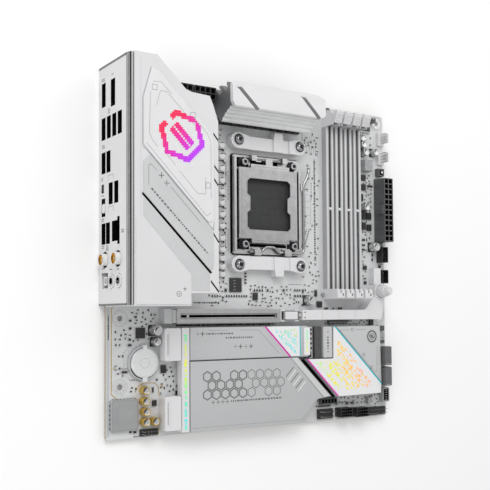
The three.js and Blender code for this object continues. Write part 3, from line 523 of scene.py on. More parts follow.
def refine(node, mats, bevel=0.25, segs=2, pick=None, angle=30, slot=None, name=None, also=(), merge=True):
    """The CAD node's own shape with dissolved facets, rounded edges and per-face finishes."""
    me = NODES[node].data.copy()
    me.name = (name or node) + "_mesh"
    bm = bmesh.new()
    bm.from_mesh(me)
    bmesh.ops.remove_doubles(bm, verts=bm.verts, dist=2e-6)
    bmesh.ops.recalc_face_normals(bm, faces=bm.faces)
    bm.normal_update()
    for f in bm.faces:
        f.smooth = True
        f.material_index = pick(mm(f.calc_center_median()), f.normal) if pick else 0
    if merge:
        # a dissolved face with a hole in it can close the hole, so the merge is kept only if the surface is unchanged
        whole = bm.copy()
        before = tri_area(bm)
        bmesh.ops.dissolve_limit(bm, angle_limit=math.radians(0.6), verts=bm.verts, edges=bm.edges, delimit={"MATERIAL"})
        if abs(tri_area(bm) - before) > 0.0005 * before:
            bm.free()
            bm = whole
        else:
            whole.free()
    bm.to_mesh(me)
    bm.free()
    picked = [p.material_index for p in me.polygons]
    me.materials.clear()
    for k in mats:
        me.materials.append(M[k])
    me.polygons.foreach_set("material_index", picked)
    # custom normals from the import would fight the rounded edges
    if me.has_custom_normals:
        me.free_normals_split() if hasattr(me, "free_normals_split") else None
    for att in ("custom_normal", "sharp_face", "sharp_edge"):
        if att in me.attributes:
            me.attributes.remove(me.attributes[att])
    return place((name or node) + "_fine", me, BODY[node], bevel, segs, angle, slot, (node,) + tuple(also))


# ------------------------------------------------------------------ the CAD nodes, refined
def board_pick(c, n):
    return 0 if abs(n.z) > 0.5 and c[2] > 1.0 else (1 if abs(n.z) < 0.5 and (c[0] < 0.7 or c[0] > 243.1 or c[1] < 0.7 or c[1] > 243.1) else (2 if c[2] < -0.05 else 0))


refine("pcb", ["pcb", "fr4", "tin"], 0.12, 1, board_pick, slot="pcb_white")
# painted shade: the flanges get the darker rim finish and the cut edges inside the openings are drawn near-black
refine("io_plate", ["plate", "plate_rim", "void_and_shade"], 0.12, 1, lambda c, n: 1 if (c[2] > 42.4 or c[1] > 246.7 or c[1] < 88.4) and n.x > -0.9 else (2 if abs(n.x) < 0.4 and c[0] < -2.3 and 125.2 < c[1] < 245.5 and -1.9 < c[2] < 41.0 else 0), slot="plate_white", merge=False)
refine("io_shroud", ["shroud"], 0.5, 3, slot="shroud_white")
refine("shroud_band", ["band"], 0.25, 2, slot="band_satin")


def mouth_pick(c, n):
    # the stamped face round each opening is steel; the cavities behind it are drawn near-black, their dark plastic
    # deepened with painted shade
    return 0 if n.x > -0.5 and c[0] > 14.5 else 1


for k in ("video_ports", "usb_stack_a", "usb_stack_b", "usb_stack_c", "lan_stack"):
    refine(k, ["steel_y", "void_and_shade"], 0.12, 1, mouth_pick, slot="steel", merge=False)
refine("button_housing", ["black"], 0.1, 1, slot="plastic_black")
refine("flashback_button", ["black"], 0.3, 2, slot="plastic_black")
refine("reset_button", ["white_pl"], 0.4, 3, slot="plastic_white")
# painted shade: the antenna connectors' insides and the white jacks' bores are drawn near-black
refine("antenna_module", ["gold", "void_and_shade", "nickel"], 0.15, 2, lambda c, n: 1 if c[0] > -2.4 else (0 if min(math.hypot(c[1] - 118.2, c[2] - 7.8), math.hypot(c[1] - 118.0, c[2] - 28.2)) < 3.62 else 2), slot="brass", merge=False)
refine("audio_jacks", ["white_pl", "void_and_shade"], 0.15, 2, lambda c, n: 1 if (c[0] > -3.0 and n.x > -0.5 and c[0] < 9.2 and any((c[1] - y) ** 2 + (c[2] - z) ** 2 < 2.6 ** 2 for y, z in ((104.0, 18.6), (104.0, 29.4)))) else 0, slot="plastic_white")
refine("vrm_heatsink_left", ["hs_dark"], 0.3, 2, slot="heatsink_dark")
refine("vrm_heatsink_top", ["hs_mid", "hs_pale"], 0.25, 2, lambda c, n: 1 if abs(n.x) < 0.5 and c[1] < 231 else 0, slot="heatsink_dark")
refine("vrm_top_cover", ["cover", "hs_dark"], 0.35, 3, lambda c, n: 0, slot="cover_white")
for k in ("cpu_power_1", "cpu_power_2"):
    refine(k, ["eps_black"], 0.18, 1, slot="plastic_black", merge=False)
# painted shade: the walls of the pin holes are drawn near-black
refine("atx_power", ["dark_grey_pl", "void_and_shade"], 0.18, 1, lambda c, n: 1 if c[2] < 14.3 and 234.6 < c[0] < 242.6 and 140.6 < c[1] < 190.8 else 0, slot="plastic_grey", merge=False)
refine("cpu_socket", ["dark_pl"], 0.2, 2, slot="plastic_dark")
refine("socket_frame", ["steel"], 0.25, 2, slot="steel")
refine("socket_load_plate", ["steel_y"], 0.35, 3, slot="steel", merge=False)
refine("socket_lever", ["chrome"], 0.0, slot="steel_bright", angle=60)
refine("socket_backplate", ["hs_dark"], 0.4, 2, slot="steel")
for k in ("cooler_bracket_top", "cooler_bracket_bottom"):
    refine(k, ["white_pl"], 0.7, 3, slot="plastic_white")
for i in range(1, 5):
    refine(f"dimm_slot_{i}", ["silver_pl", "slot_dark", "white_pl"], 0.3, 2,
           lambda c, n: 1 if (c[2] < 7.0 and 101.3 < c[1] < 228.9 and min(abs(c[0] - q) for q in (184.5, 193.7, 202.9, 212.1)) < 0.9 and (abs(n.x) > 0.5 or n.z > 0.5)) else (2 if c[1] < 102 or c[1] > 228.2 else 0), slot="plastic_silver")
    refine(f"dimm_latch_{i}", ["white_pl"], 0.45, 3, slot="plastic_white")
refine("pcie_slot", ["silver_pl", "slot_dark", "white_pl"], 0.25, 2, lambda c, n: 2 if c[0] > 134.9 else (1 if c[2] < 10.8 and 80 < c[1] < 82.2 and 50 < c[0] < 130 else 0), slot="plastic_silver")
refine("pcie_shield", ["steel"], 0.4, 3, slot="steel")
refine("slot_latch", ["white_pl"], 0.4, 2, slot="plastic_white", merge=False)
refine("slot_release_cover", ["white_pl"], 0.6, 3, slot="plastic_white")
refine("slot_release_link", ["silver_pl"], 0.3, 2, slot="plastic_white")
refine("slot_release_button", ["white_pl"], 0.35, 2, slot="plastic_white")
refine("m2_heatsink", ["hs_silver"], 0.35, 3, slot="heatsink_silver")
refine("m2_heatsink_lower", ["hs_silver"], 0.35, 3, slot="heatsink_silver")
refine("heatsink_rail", ["cover"], 0.5, 3, slot="cover_white")
refine("chipset_heatsink", ["hs_light"], 0.35, 3, slot="heatsink_silver")
refine("heatsink_strip_right", ["hs_light"], 0.35, 3, slot="heatsink_silver")
refine("chipset_chip", ["chip"], 0.2, 2, slot="plastic_dark")
for k in ("m2_end_block_1", "m2_end_block_2"):
    refine(k, ["cover"], 0.7, 3, slot="cover_white")
refine("battery_holder", ["silver_pl"], 0.25, 2, slot="plastic_silver")
refine("coin_cell", ["cell"], 0.35, 3, slot="cell")
refine("audio_shield", ["hs_grey"], 0.4, 3, slot="steel")
refine("front_audio_header", ["black"], 0.15, 1, slot="plastic_black")
# painted shade: the ports' cavities are drawn near-black
for k in ("sata_port_1", "sata_port_2"):
    refine(k, ["sata_pl", "void_and_shade"], 0.3, 2, lambda c, n: 1 if c[0] > 238.6 and c[0] < 243.2 and 3.0 < c[2] < 8.4 and not abs(c[0] - 243.4) < 0.1 and n.z > -2 and (abs(n.y) > .5 or abs(n.z) > .5 or n.x > .5) and c[2] < 8.3 and not (c[2] < 2) and (c[1] % 1 >= 0) and (26.3 < c[1] < 38.1 or 42.5 < c[1] < 54.5) else 0, slot="plastic_grey")
for k in ("front_usb_header", "front_usb_c_header", "usb_header_1", "usb_header_2"):
    refine(k, ["black"], 0.2, 2, slot="plastic_black")


# ------------------------------------------------------------------ rear plate and shroud detail
def slant(b, pts, z0, z1, m, mtop=None, inset=0.0):
    b.prism(pts, z0, z1, m, mtop=mtop)


d = Build("plate_detail")
# dark outline of the folded plate edge, a painted shadow of the flanges; the fold line and the seal between flange and
# shroud
for y0, y1, z0, z1 in ((88.35, 246.75, 41.1, 41.95), (88.32, 89.5, -2.1, 41.9), (245.2, 246.78, -2.1, 41.9)):
    d.box(-3.24, -3.0, y0, y1, z0, z1, 0)
d.prism([(43.1, -1.30), (44.75, -0.72), (44.75, 0.06), (43.2, -0.38)], 88.5, 246.6, 1, axis="y")
d.prism([(42.3, -2.86), (45.0, -1.50), (45.1, -1.66), (42.35, -3.06)], 88.4, 246.7, 2, axis="y")
d.prism([(44.35, -1.98), (45.15, -1.58), (45.25, -1.72), (44.4, -2.12)], 88.4, 246.7, 5, axis="y")


PORTS = [(219.6, 234.6, 2.9, 8.4), (217.6, 234.4, 17.6, 23.6), (197.7, 211.5, 2.6, 8.2), (197.7, 211.5, 11.2, 16.8), (197.7, 211.5, 19.8, 25.4), (197.7, 211.5, 28.4, 34.0),
         (175.4, 188.6, 2.6, 8.2), (175.4, 188.6, 10.6, 16.2), (154.2, 167.4, 14.2, 19.8), (154.2, 167.4, 23.0, 28.6), (128.8, 141.8, 2.6, 8.2), (128.8, 141.8, 9.8, 15.4)]
# shadowed return of each pressed opening
for y0, y1, z0_, z1_ in PORTS:
    for a in ((y0 - 0.45, y1 + 0.45, z0_ - 0.3, z0_), (y0 - 0.45, y1 + 0.45, z1_, z1_ + 0.45), (y0 - 0.45, y0, z0_, z1_), (y1, y1 + 0.45, z0_, z1_)):
        d.box(-3.225, -3.1, a[0], a[1], a[2], a[3], 5)


def legend(y, z, rows, length, seed):
    """Plain dashes beside an opening, running away from the board."""
    q = random.Random(seed)
    for k in range(rows):
        t = 0.0
        while t < length:
            l = min(length - t, q.choice((0.5, 0.8, 1.1)))
            if l > 0.2:
                d.box(-3.23, -3.1, y - k * 1.3 - 0.4, y - k * 1.3 + 0.4, z + t, z + t + l, 0)
            t += l + 0.4


for i, (y, z, rows, length) in enumerate(((238.0, 2.6, 2, 4.6), (238.0, 18.4, 1, 3.6), (216.4, 12.6, 3, 3.2), (193.6, 3.0, 2, 4.6), (172.2, 2.0, 2, 2.8),
                                          (160.6, 2.2, 1, 4.0), (145.2, 2.2, 2, 4.2), (135.6, 33.4, 2, 4.2), (127.4, 2.6, 2, 4.2), (127.0, 9.6, 3, 4.2),
                                          (112.6, 2.4, 1, 4.8), (111.6, 15.0, 1, 4.4), (111.2, 26.8, 1, 3.6), (188.4, 29.6, 0, 0))):
    legend(y, z, rows, length, 40 + i)
# thin printed frames above and below the raised pair of openings
for y in (171.2, 150.8):
    for a, b_, c, e in ((y - 1.6, y + 1.6, 13.2, 13.45), (y - 1.6, y + 1.6, 21.4, 21.65), (y + 1.4, y + 1.65, 13.2, 21.6)):
        d.box(-3.22, -3.1, a, b_, c, e, 0)
# dimples of the plate's spring dome row beside the openings
for y in (214.0, 192.6, 148.4):
    d.lathe(y, 38.4, [(0.0, -3.26), (0.5, -3.25), (0.9, -3.18), (1.0, -3.1)], 16, 3, "x")
# jack rims, black rings of painted shade in the bores, a black edge of painted shadow along the optical port's top and
# one side, and the optical shutter
for y, z in ((104.0, 18.6), (104.0, 29.4)):
    d.ring(y, z, -3.95, -3.7, 2.9, 3.3, 32, 4, "x")
    d.ring(y, z, -3.98, -3.6, 1.7, 2.15, 28, 5, "x")
d.box(-3.35, -3.1, 99.45, 109.35, 12.1, 12.45, 5)
d.box(-3.35, -3.1, 108.9, 109.4, 3.0, 12.3, 5)
d.box(-2.75, -2.5, 102.6, 106.2, 6.0, 9.2, 4)
for y, z in ((118.2, 7.8), (118.0, 28.2)):
    d.ring(y, z, -6.5 + 0.12, -6.2, 3.5, 3.75, 28, 6, "x")
    # recess seen past the two flats, drawn black as painted shade
    for s in (1, -1):
        d.prism([(y + s * 3.85, z - 3.3), (y + s * 5.3, z - 1.4), (y + s * 5.3, z + 1.4), (y + s * 3.85, z + 3.3)][::s], -2.6, -2.25, 5, axis="x")
d.done(["line", "seal", "steel_dim", "plate", "line_soft", "void_and_shade", "gold"], slot="plate_print")

# milky panel with its lit dot pattern
PANEL = [(6.5, 188.8), (52.5, 142.6), (55.0, 142.6), (56.9, 144.5), (56.9, 197.0), (52.9, 203.7), (17.1, 237.3), (12.1, 238.2), (6.5, 218.7)]
d = Build("light_panel_fine")
d.prism(PANEL, 45.5, 46.26, 0)
d.done(["panel"], bevel=0.3, segs=3, slot="panel_milky", replaces=("light_panel",))


def inside(pts, x, y):
    r = False
    for i in range(len(pts)):
        (x0, y0), (x1, y1) = pts[i - 1], pts[i]
        if (y0 > y) != (y1 > y) and x < (x1 - x0) * (y - y0) / (y1 - y0) + x0:
            r = not r
    return r


d = Build("panel_print")
z0, z1 = 46.2, 46.31
inner = [(8.3, 190.0), (51.6, 146.2), (54.8, 149.0), (54.8, 195.6), (51.6, 201.2), (17.4, 233.4), (13.4, 234.0), (8.3, 216.4)]
d.line(inner[:3], 0.34, z0, z1, 0)
d.line([(54.8, 158), (54.8, 195.6), (51.6, 201.2), (42.0, 210.2)], 0.34, z0, z1, 0)
d.line([(11.0, 222.6), (10.2, 196.4), (12.4, 192.0), (16.0, 188.4)], 0.34, z0, z1, 0)
d.line([(13.0, 229.6), (18.6, 230.0), (26.0, 223.0)], 0.34, z0, z1, 0)
d.line([(15.2, 214.6), (18.0, 224.2), (22.4, 224.4), (47.2, 201.0)], 0.34, z0, z1, 0)
d.line([(31.4, 174.2), (44.6, 160.8), (50.8, 160.6), (50.8, 172.0)], 0.34, z0, z1, 0)
d.line([(20.4, 186.0), (28.6, 177.6)], 0.34, z0, z1, 0)
for cx, cy in ((13.9, 226.0), (41.4, 211.4), (52.4, 166.4)):
    d.line([(cx - 1.7, cy - 1.7), (cx + 1.7, cy - 1.7), (cx + 1.7, cy + 1.7), (cx - 1.7, cy + 1.7)], 0.4, z0, z1, 0, closed=True)
q = random.Random(77)
# ringed hexagon of lit dots with two slanted bars, set on a square grid
ex, ey = 33.4, 196.8
step = 1.32
for i in range(-16, 17):
    for j in range(-16, 17):
        x, y = ex + i * step, ey + j * step
        if not inside(inner, x, y):
            continue
        u, v = (x - ex) * 0.7071 - (y - ey) * 0.7071, (x - ex) * 0.7071 + (y - ey) * 0.7071
        h = max(abs(u), abs(u) * 0.5 + abs(v) * 0.866)
        lit = (11.4 < h < 15.0 and not (abs(v) < 2.0 and u < 0)) or (h < 9.2 and (abs(v - 2.6) < 1.7 or abs(v + 2.6) < 1.7))
        if lit:
            d.box(x - 0.63, x + 0.63, y - 0.63, y + 0.63, z0, z1 + 0.04, 1)
        elif h < 21 and q.random() < 0.05:
            d.box(x - 0.5, x + 0.5, y - 0.5, y + 0.5, z0, z1, 2)
d.done(["line_soft", "lit_dots", "white_ink"], slot="panel_print")

# satin bands, black channel, raised lower panel and printed marks on the cover
d = Build("shroud_detail")
z = 45.5
d.prism([(5.6, 157.2), (54.2, 108.9), (55.6, 109.6), (54.5, 110.5), (6.4, 158.2), (5.4, 158.8)], z - 0.05, z + 0.3, 0)
d.line([(6.2, 187.6), (10.9, 183.6), (56.9, 137.6), (57.4, 142.4)], 0.3, z - 0.05, z + 0.1, 3)
d.line([(5.9, 188.4), (5.9, 219.0), (11.9, 238.9)], 0.3, z - 0.05, z + 0.1, 3)
# marks on the band
b1 = 46.05
d.line([(9.8, 163.5), (9.8, 176.1), (11.4, 177.0), (15.7, 173.0)], 0.3, b1, b1 + 0.09, 3)
d.line([(25.6, 163.2), (46.6, 142.1)], 0.35, b1, b1 + 0.09, 3)
d.plus(18.6, 170.2, 1.9, 0.28, b1, b1 + 0.09, 2)
d.plus(22.4, 165.6, 1.9, 0.28, b1, b1 + 0.09, 3)
d.ticks(11.6, 161.6, 40.8, -40.0, 1, b1, b1 + 0.1, 2, w=0.8, h=1.15, gap=0.85, seed=5)
# small ring and dot near the lower corner
d.ring(31.0, 95.4, 45.95, 46.07, 1.5, 1.8, 32, 2)
d.cyl(31.0, 95.4, 45.95, 46.07, 0.45, 20, 2)
d.plus(35.2, 98.6, 1.7, 0.4, 45.95, 46.07, 2, star=True)
# fine joint between the cover's margin and its top
d.line([(4.7, 90.0), (4.7, 244.6)], 0.12, z - 0.05, z + 0.04, 4)
# dark floors of the five edge slots, painted shade
for x0, y0, x1, y1 in [[57.2, 202.2, 61.8, 196.6], [57.8, 180.8, 61.8, 175.8], [57.6, 172.0, 61.8, 166.6], [57.0, 135.9, 61.8, 129.1], [54.8, 104.8, 61.8, 96.6]]:
    t = (60.75 - x0) / (x1 - x0)
    ye = y0 + (y1 - y0) * t
    d.prism([(x0 + 0.12, y0 - 1.55), (60.75, ye - 1.6), (60.75, ye - 0.1), (x0 + 0.12, y0 - 0.22)], 44.2, 45.3, 0)
d.done(["void_and_shade", "band", "line", "steel_dim", "line_soft"], slot="shroud_print")
d = Build("shroud_panels")
d.prism([(6.4, 156.6), (6.2, 144.4), (40.4, 108.0), (40.7, 97.4), (53.9, 97.4), (54.0, 108.6)], z - 0.1, z + 0.22, 1)
d.prism([(1.3, 88.7), (39.7, 88.7), (39.7, 107.0), (5.9, 143.0), (1.3, 143.0)], z - 0.1, z + 0.5, 0)
d.done(["shroud", "band"], bevel=0.16, segs=2, slot="shroud_white")


# ------------------------------------------------------------------ regulator section, socket and cooler hardware
def screw_head(b, x, y, z, r, h, m_head, m_dark, hexa=False, rot=0.3):
    """Domed head with a round pit in its top; unless hexa is set, four dark bars of painted shade stand in for a cross
    recess.
    """
    b.lathe(x, y, [(r * 0.98, z), (r, z + h * 0.35), (r * 0.93, z + h * 0.7), (r * 0.72, z + h * 0.95), (r * 0.5, z + h), (r * 0.42, z + h * 0.6), (0.0, z + h * 0.55)], 28, m_head,
            ms=[m_head, m_head, m_head, m_head, m_dark, m_dark])
    if not hexa:
        for k in range(4):
            a = rot + k * math.pi / 2
            b.box(x + math.cos(a) * r * 0.58 - r * 0.18, x + math.cos(a) * r * 0.58 + r * 0.18, y + math.sin(a) * r * 0.58 - r * 0.07, y + math.sin(a) * r * 0.58 + r * 0.07, z + h * 0.9, z + h * 1.02, m_dark, a)


d = Build("cooler_screws")
for x, y in ((100.1, 208.7), (154.5, 208.7), (100.1, 118.1), (154.5, 118.1)):
    d.ring(x, y, 8.3, 8.95, 4.25, 5.0, 36, 2)
    d.lathe(x, y, [(4.2, 8.3), (4.2, 8.8), (3.3, 9.6), (2.4, 10.9), (1.5, 11.3), (1.3, 10.6), (0.0, 10.4)], 32, 0, ms=[1, 1, 0, 0, 1, 1])
    for k in range(2):
        a = 0.5 + k * math.pi / 2
        d.box(x - 2.0, x + 2.0, y - 0.34, y + 0.34, 10.2, 11.3, 1, a)
    d.ring(x, y, 8.7, 9.0, 3.9, 4.2, 32, 0)
d.done(["chrome", "screw_dark", "white_pl"], bevel=0.1, segs=2, slot="screws")

d = Build("socket_screws")
for x, y in ((106.4, 193.3), (150.0, 193.6), (106.5, 133.2), (150.3, 132.9)):
    # painted shade: a dark ring round each screw's foot and dark hex recesses
    d.ring(x, y, 3.55, 3.75, 2.9, 4.0, 32, 1)
    d.lathe(x, y, [(2.75, 6.15), (2.75, 7.0), (2.4, 7.5), (1.45, 7.6), (1.25, 6.7), (0.0, 6.6)], 30, 0, ms=[0, 0, 0, 1, 1])
    d.ring(x, y, 6.15, 6.45, 2.7, 3.0, 30, 1)
    for k in range(6):
        a = k * math.pi / 3
        d.cyl(x + 1.25 * math.cos(a), y + 1.25 * math.sin(a), 6.6, 7.62, 0.22, 8, 1)
d.done(["chrome", "screw_dark"], bevel=0.06, segs=1, slot="screws")

d = Build("socket_detail")
# painted shadow: dark surround under the frame, and black in the recesses round the hinge tongues and under the load
# plate's cut corners
d.box(96.6, 97.15, 126.6, 198.2, 1.55, 3.4, 1)
d.box(99.25, 100.4, 128.2, 196.8, 3.55, 3.75, 1)
d.box(97.6, 156.0, 198.62, 199.3, 1.55, 2.6, 1)
d.box(97.6, 156.0, 125.5, 126.15, 1.55, 2.4, 1)
for x0, x1, y0, y1 in ((100.6, 111.0, 189.5, 196.9), (145.8, 152.4, 189.5, 197.2), (100.6, 111.4, 129.6, 137.0), (145.4, 152.6, 129.2, 137.0), (113.0, 123.9, 192.5, 197.2), (130.9, 137.2, 192.5, 197.2), (112.0, 144.6, 131.6, 134.0), (152.9, 154.4, 138.0, 189.0)):
    d.box(x0, x1, y0, y1, 3.55, 3.72, 1)
# pressed ribs and the small stop tabs of the frame
d.line([(99.9, 130.5), (99.9, 136.4)], 0.8, 3.5, 4.3, 0)
d.box(116.8, 121.6, 194.4, 195.6, 3.5, 5.4, 0)
d.box(124.6, 130.4, 194.8, 196.0, 3.5, 4.8, 2)
for x in (113.2, 142.6):
    d.cyl(x + 1.0, 196.4, 7.55, 7.85, 0.7, 20, 0)
for x0, x1 in ((113.4, 120.4), (140.2, 147.6)):
    d.box(x0, x1, 129.9, 131.0, 3.5, 5.0, 0)
d.box(121.6, 127.6, 130.6, 131.6, 3.5, 4.6, 2)
d.box(129.6, 136.6, 130.8, 131.6, 3.5, 4.4, 2)
d.done(["steel", "void_and_shade", "steel_dim"], bevel=0.12, segs=2, slot="socket_steel")
# raised lip round the load plate window and its rolled left edge
d = Build("load_plate_detail")
win = [(110.2, 144.0), (144.0, 144.0), (146.2, 146.2), (146.2, 156.6), (143.6, 158.4), (143.6, 168.2), (146.2, 170.0), (146.2, 179.4),
       (144.0, 181.6), (110.2, 181.6), (108.0, 179.4), (108.0, 170.0), (110.6, 168.2), (110.6, 158.4), (108.0, 156.6), (108.0, 146.2)]
out = []
for x, y in win:
    out.append((127.1 + (x - 127.1) * 1.022, 162.8 + (y - 162.8) * 1.022))
d.line(out, 0.5, 7.2, 7.45, 0, closed=True)
d.line([(101.4, 140.5), (101.4, 186.4)], 1.0, 7.2, 7.55, 0)
d.line([(103.2, 139.2), (103.2, 187.4)], 0.25, 7.2, 7.34, 1)
d.line([(113.6, 190.6), (143.4, 190.6)], 0.3, 7.2, 7.36, 1)
d.line([(113.6, 136.0), (143.4, 136.0)], 0.3, 7.2, 7.36, 1)
d.done(["steel_y", "steel_dim"], body="socket_load_plate_body", bevel=0.12, segs=2, slot="plate_steel")
# contact field: fine raised lands in rows with the central gap
d = Build("contact_field")
d.box(107.3, 147.1, 143.1, 183.3, 2.85, 3.0, 0)
nx = 64
for i in range(nx):
    x = 108.2 + i * (38.0 / (nx - 1))
    for y0, y1 in ((143.9, 158.8), (159.4, 167.6), (168.0, 182.6)):
        d.box(x - 0.2, x + 0.2, y0, y1, 2.95, 3.2, 1)
d.done(["dark_pl", "dark_contact"], slot="contacts")

# dark floors of the cover's two grooves, painted shade, and the row of inductors and power stages
d = Build("cover_grooves")
def groove(pts):
    """A dark inlay of painted shade whose top follows the cover: flat, then down the back chamfer."""
    zt = [33.08 if y < 239.4 else 33.08 - (y - 239.4) * 2.4 / 4.2 for x, y in pts]
    n = len(pts)
    d.raw([(x, y, 31.9) for x, y in pts] + [(x, y, max(z, 32.0)) for (x, y), z in zip(pts, zt)],
          [list(range(n))[::-1], [n + i for i in range(n)]] + [[i, (i + 1) % n, n + (i + 1) % n, n + i] for i in range(n)], 0)


groove([(83.4, 239.2), (85.3, 238.1), (99.3, 225.3), (100.9, 225.3), (101.9, 226.1), (87.0, 239.4)])
groove([(137.7, 240.0), (139.5, 238.9), (153.5, 225.3), (154.9, 225.35), (156.0, 226.4), (141.7, 239.4)])
d.line([(104.4, 233.2), (141.0, 233.2)], 0.12, 33.15, 33.19, 1)
d.done(["line", "line_soft"], slot="cover_print")
d = Build("power_inductors")
for i in range(11):
    x = 82.6 + i * 6.9
    if x > 155:
        break
    d.box(x, x + 5.9, 219.4, 223.8, 1.55, 5.0, 2, inset=0.2)
    d.box(x + 0.5, x + 5.4, 219.1, 219.45, 1.55, 2.2, 1)
for i in range(8):
    y = 118.4 + i * 10.6
    if y > 200:
        break
    d.box(62.6, 69.2, y, y + 6.4, 1.55, 7.0, 0, inset=0.3)
    d.box(71.0, 76.2, y + 0.6, y + 5.6, 1.55, 2.5, 2)
d.done(["choke", "tin", "chip"], bevel=0.18, segs=2, slot="inductors")
# column of small capacitors between the cover and the socket
d = Build("capacitor_column")
for i, y in enumerate((203.6, 195.7, 187.0, 178.3, 170.4, 162.2, 153.9, 145.6, 137.0, 128.8, 122.6, 116.5, 111.1)):
    x = 87.6
    d.box(x - 2.7, x + 2.7, y - 2.7, y + 2.7, 1.55, 2.3, 2, inset=0.2)
    d.lathe(x, y, [(2.25, 2.2), (2.45, 2.7), (2.45, 6.0), (2.2, 6.5), (1.7, 6.6), (0.0, 6.55)], 26, 0)
    p = [(x + 2.2 * math.cos(t), y + 2.2 * math.sin(t)) for t in [math.radians(55 + k * 12) for k in range(9)]]
    d.prism(p, 6.4, 6.66, 1)
    d.box(x + 2.8, x + 3.6, y - 3.4, y - 2.0, 1.55, 2.3, 2)
d.done(["fan_white", "seal", "black"], slot="capacitors")


# ------------------------------------------------------------------ board surface: printing, pads, traces and small parts
ICS = [[95.5, 105.5, 98.4, 108.6, 1.2], [115.5, 119.5, 92.6, 98.0, 1.2], [172.3, 174.4, 95.6, 100.5, 1.0], [174.1, 179.0, 87.3, 91.9, 1.2], [219.9, 224.7, 189.4, 194.1, 1.2], [219.7, 224.7, 181.6, 186.6, 1.2], [219.6, 221.9, 172.9, 178.4, 1.2], [220.2, 224.3, 157.8, 164.4, 1.6], [225.3, 229.8, 158.1, 163.6, 1.6], [220.1, 224.0, 149.7, 155.7, 1.6], [225.5, 229.9, 149.0, 154.2, 1.6], [221.3, 224.8, 117.4, 120.8, 1.1], [222.1, 224.3, 105.8, 108.2, 1.1], [21.5, 28.2, 66.4, 73.6, 1.0], [40.0, 43.9, 42.4, 47.8, 1.2], [33.5, 36.8, 20.4, 24.4, 1.0], [226.4, 230.8, 72.8, 77.6, 1.4]]
CHIPS = [[127.5, 129.4, 99.1, 100.6, 0.8], [141.7, 144.1, 99.3, 100.8, 0.8], [160.6, 161.7, 98.0, 101.1, 0.8], [159.3, 161.6, 88.5, 89.8, 0.8], [181.3, 185.3, 85.9, 87.1, 0.6], [189.7, 191.2, 85.8, 87.1, 0.6], [194.6, 199.3, 85.8, 87.1, 0.6], [226.1, 232.5, 184.7, 186.2, 0.6], [219.9, 223.7, 140.8, 142.2, 0.7], [219.8, 223.6, 136.6, 138.0, 0.7], [219.8, 223.6, 133.0, 134.3, 0.7], [219.7, 220.7, 128.9, 130.2, 0.7], [225.4, 225.9, 140.5, 143.0, 0.6], [230.7, 231.7, 128.2, 130.9, 0.8], [230.6, 231.6, 124.6, 127.0, 0.8], [237.8, 239.4, 118.8, 121.6, 1.0], [221.7, 224.4, 110.0, 110.8, 0.5], [15.8, 18.0, 65.0, 66.4, 0.8], [15.5, 18.4, 61.4, 62.7, 0.8], [16.6, 18.3, 72.2, 74.2, 0.8], [16.7, 18.3, 77.6, 79.2, 0.6], [20.2, 22.5, 80.2, 81.4, 0.6], [10.8, 15.5, 43.6, 44.9, 0.8], [36.5, 37.7, 37.3, 38.8, 0.8], [33.7, 34.6, 29.5, 33.2, 0.8], [50.7, 53.1, 27.5, 29.9, 1.2], [52.2, 53.4, 31.9, 34.3, 0.8], [16.9, 18.2, 3.3, 5.2, 0.7], [19.8, 21.7, 3.0, 5.0, 0.7], [89.3, 90.6, 93.5, 95.2, 0.6], [91.5, 93.1, 98.2, 101.0, 0.7]]
ROWS = [[115.6, 124.8, 99.8, 4, 1.9], [152.2, 158.9, 100.2, 3, 1.9], [80.0, 86.0, 95.4, 3, 1.9], [91.6, 110.8, 95.5, 9, 1.7], [152.1, 162.3, 95.9, 4, 1.9]]

d = Build("chips")
for i, (x0, x1, y0, y1, h) in enumerate(ICS):
    d.box(x0, x1, y0, y1, T + 0.05, T + h, 0, inset=0.12)
    d.cyl(x0 + 0.8, y1 - 0.8, T + h - 0.02, T + h + 0.02, 0.25, 14, 2)
    n = max(3, int((y1 - y0) / 0.8))
    for k in range(n):
        y = y0 + (k + 0.5) * (y1 - y0) / n
        for s, x in ((-1, x0), (1, x1)):
            d.box(min(x, x + s * 0.5), max(x, x + s * 0.5), y - 0.16, y + 0.16, T - 0.02, T + 0.32, 1)
# heat spreader lines on the larger regulator next to the socket
for k in range(4):
    d.box(98.2, 100.2, 99.6 + k * 2.2, 100.5 + k * 2.2, T + 1.16, T + 1.3, 2)
d.done(["chip", "tin", "line"], bevel=0.08, segs=1, slot="chips")

d = Build("small_parts")


def chip2(x0, x1, y0, y1, h, m=0):
    """Two-terminal part: dark body with a tinned cap at each end."""
    lx, ly = x1 - x0, y1 - y0
    d.box(x0, x1, y0, y1, T, T + h, m)
    if lx >= ly:
        for a, b in ((x0 - 0.22, x0 + 0.18), (x1 - 0.18, x1 + 0.22)):
            d.box(a, b, y0 - 0.03, y1 + 0.03, T - 0.02, T + h + 0.03, 1)
    else:
        for a, b in ((y0 - 0.22, y0 + 0.18), (y1 - 0.18, y1 + 0.22)):
            d.box(x0 - 0.03, x1 + 0.03, a, b, T - 0.02, T + h + 0.03, 1)


for x0, x1, y0, y1, h in CHIPS:
    chip2(x0, x1, y0, y1, h)
for x0, x1, y, n, w in ROWS:
    s = (x1 - x0) / n
    for k in range(n):
        chip2(x0 + k * s + 0.25, x0 + (k + 1) * s - 0.25, y - w / 2 + 0.2, y + w / 2 - 0.2, 0.8)
for y in (112.1, 109.7, 107.4, 105.1):
    chip2(108.5, 109.9, y - 0.8, y + 0.8, 0.8)
q = random.Random(9)
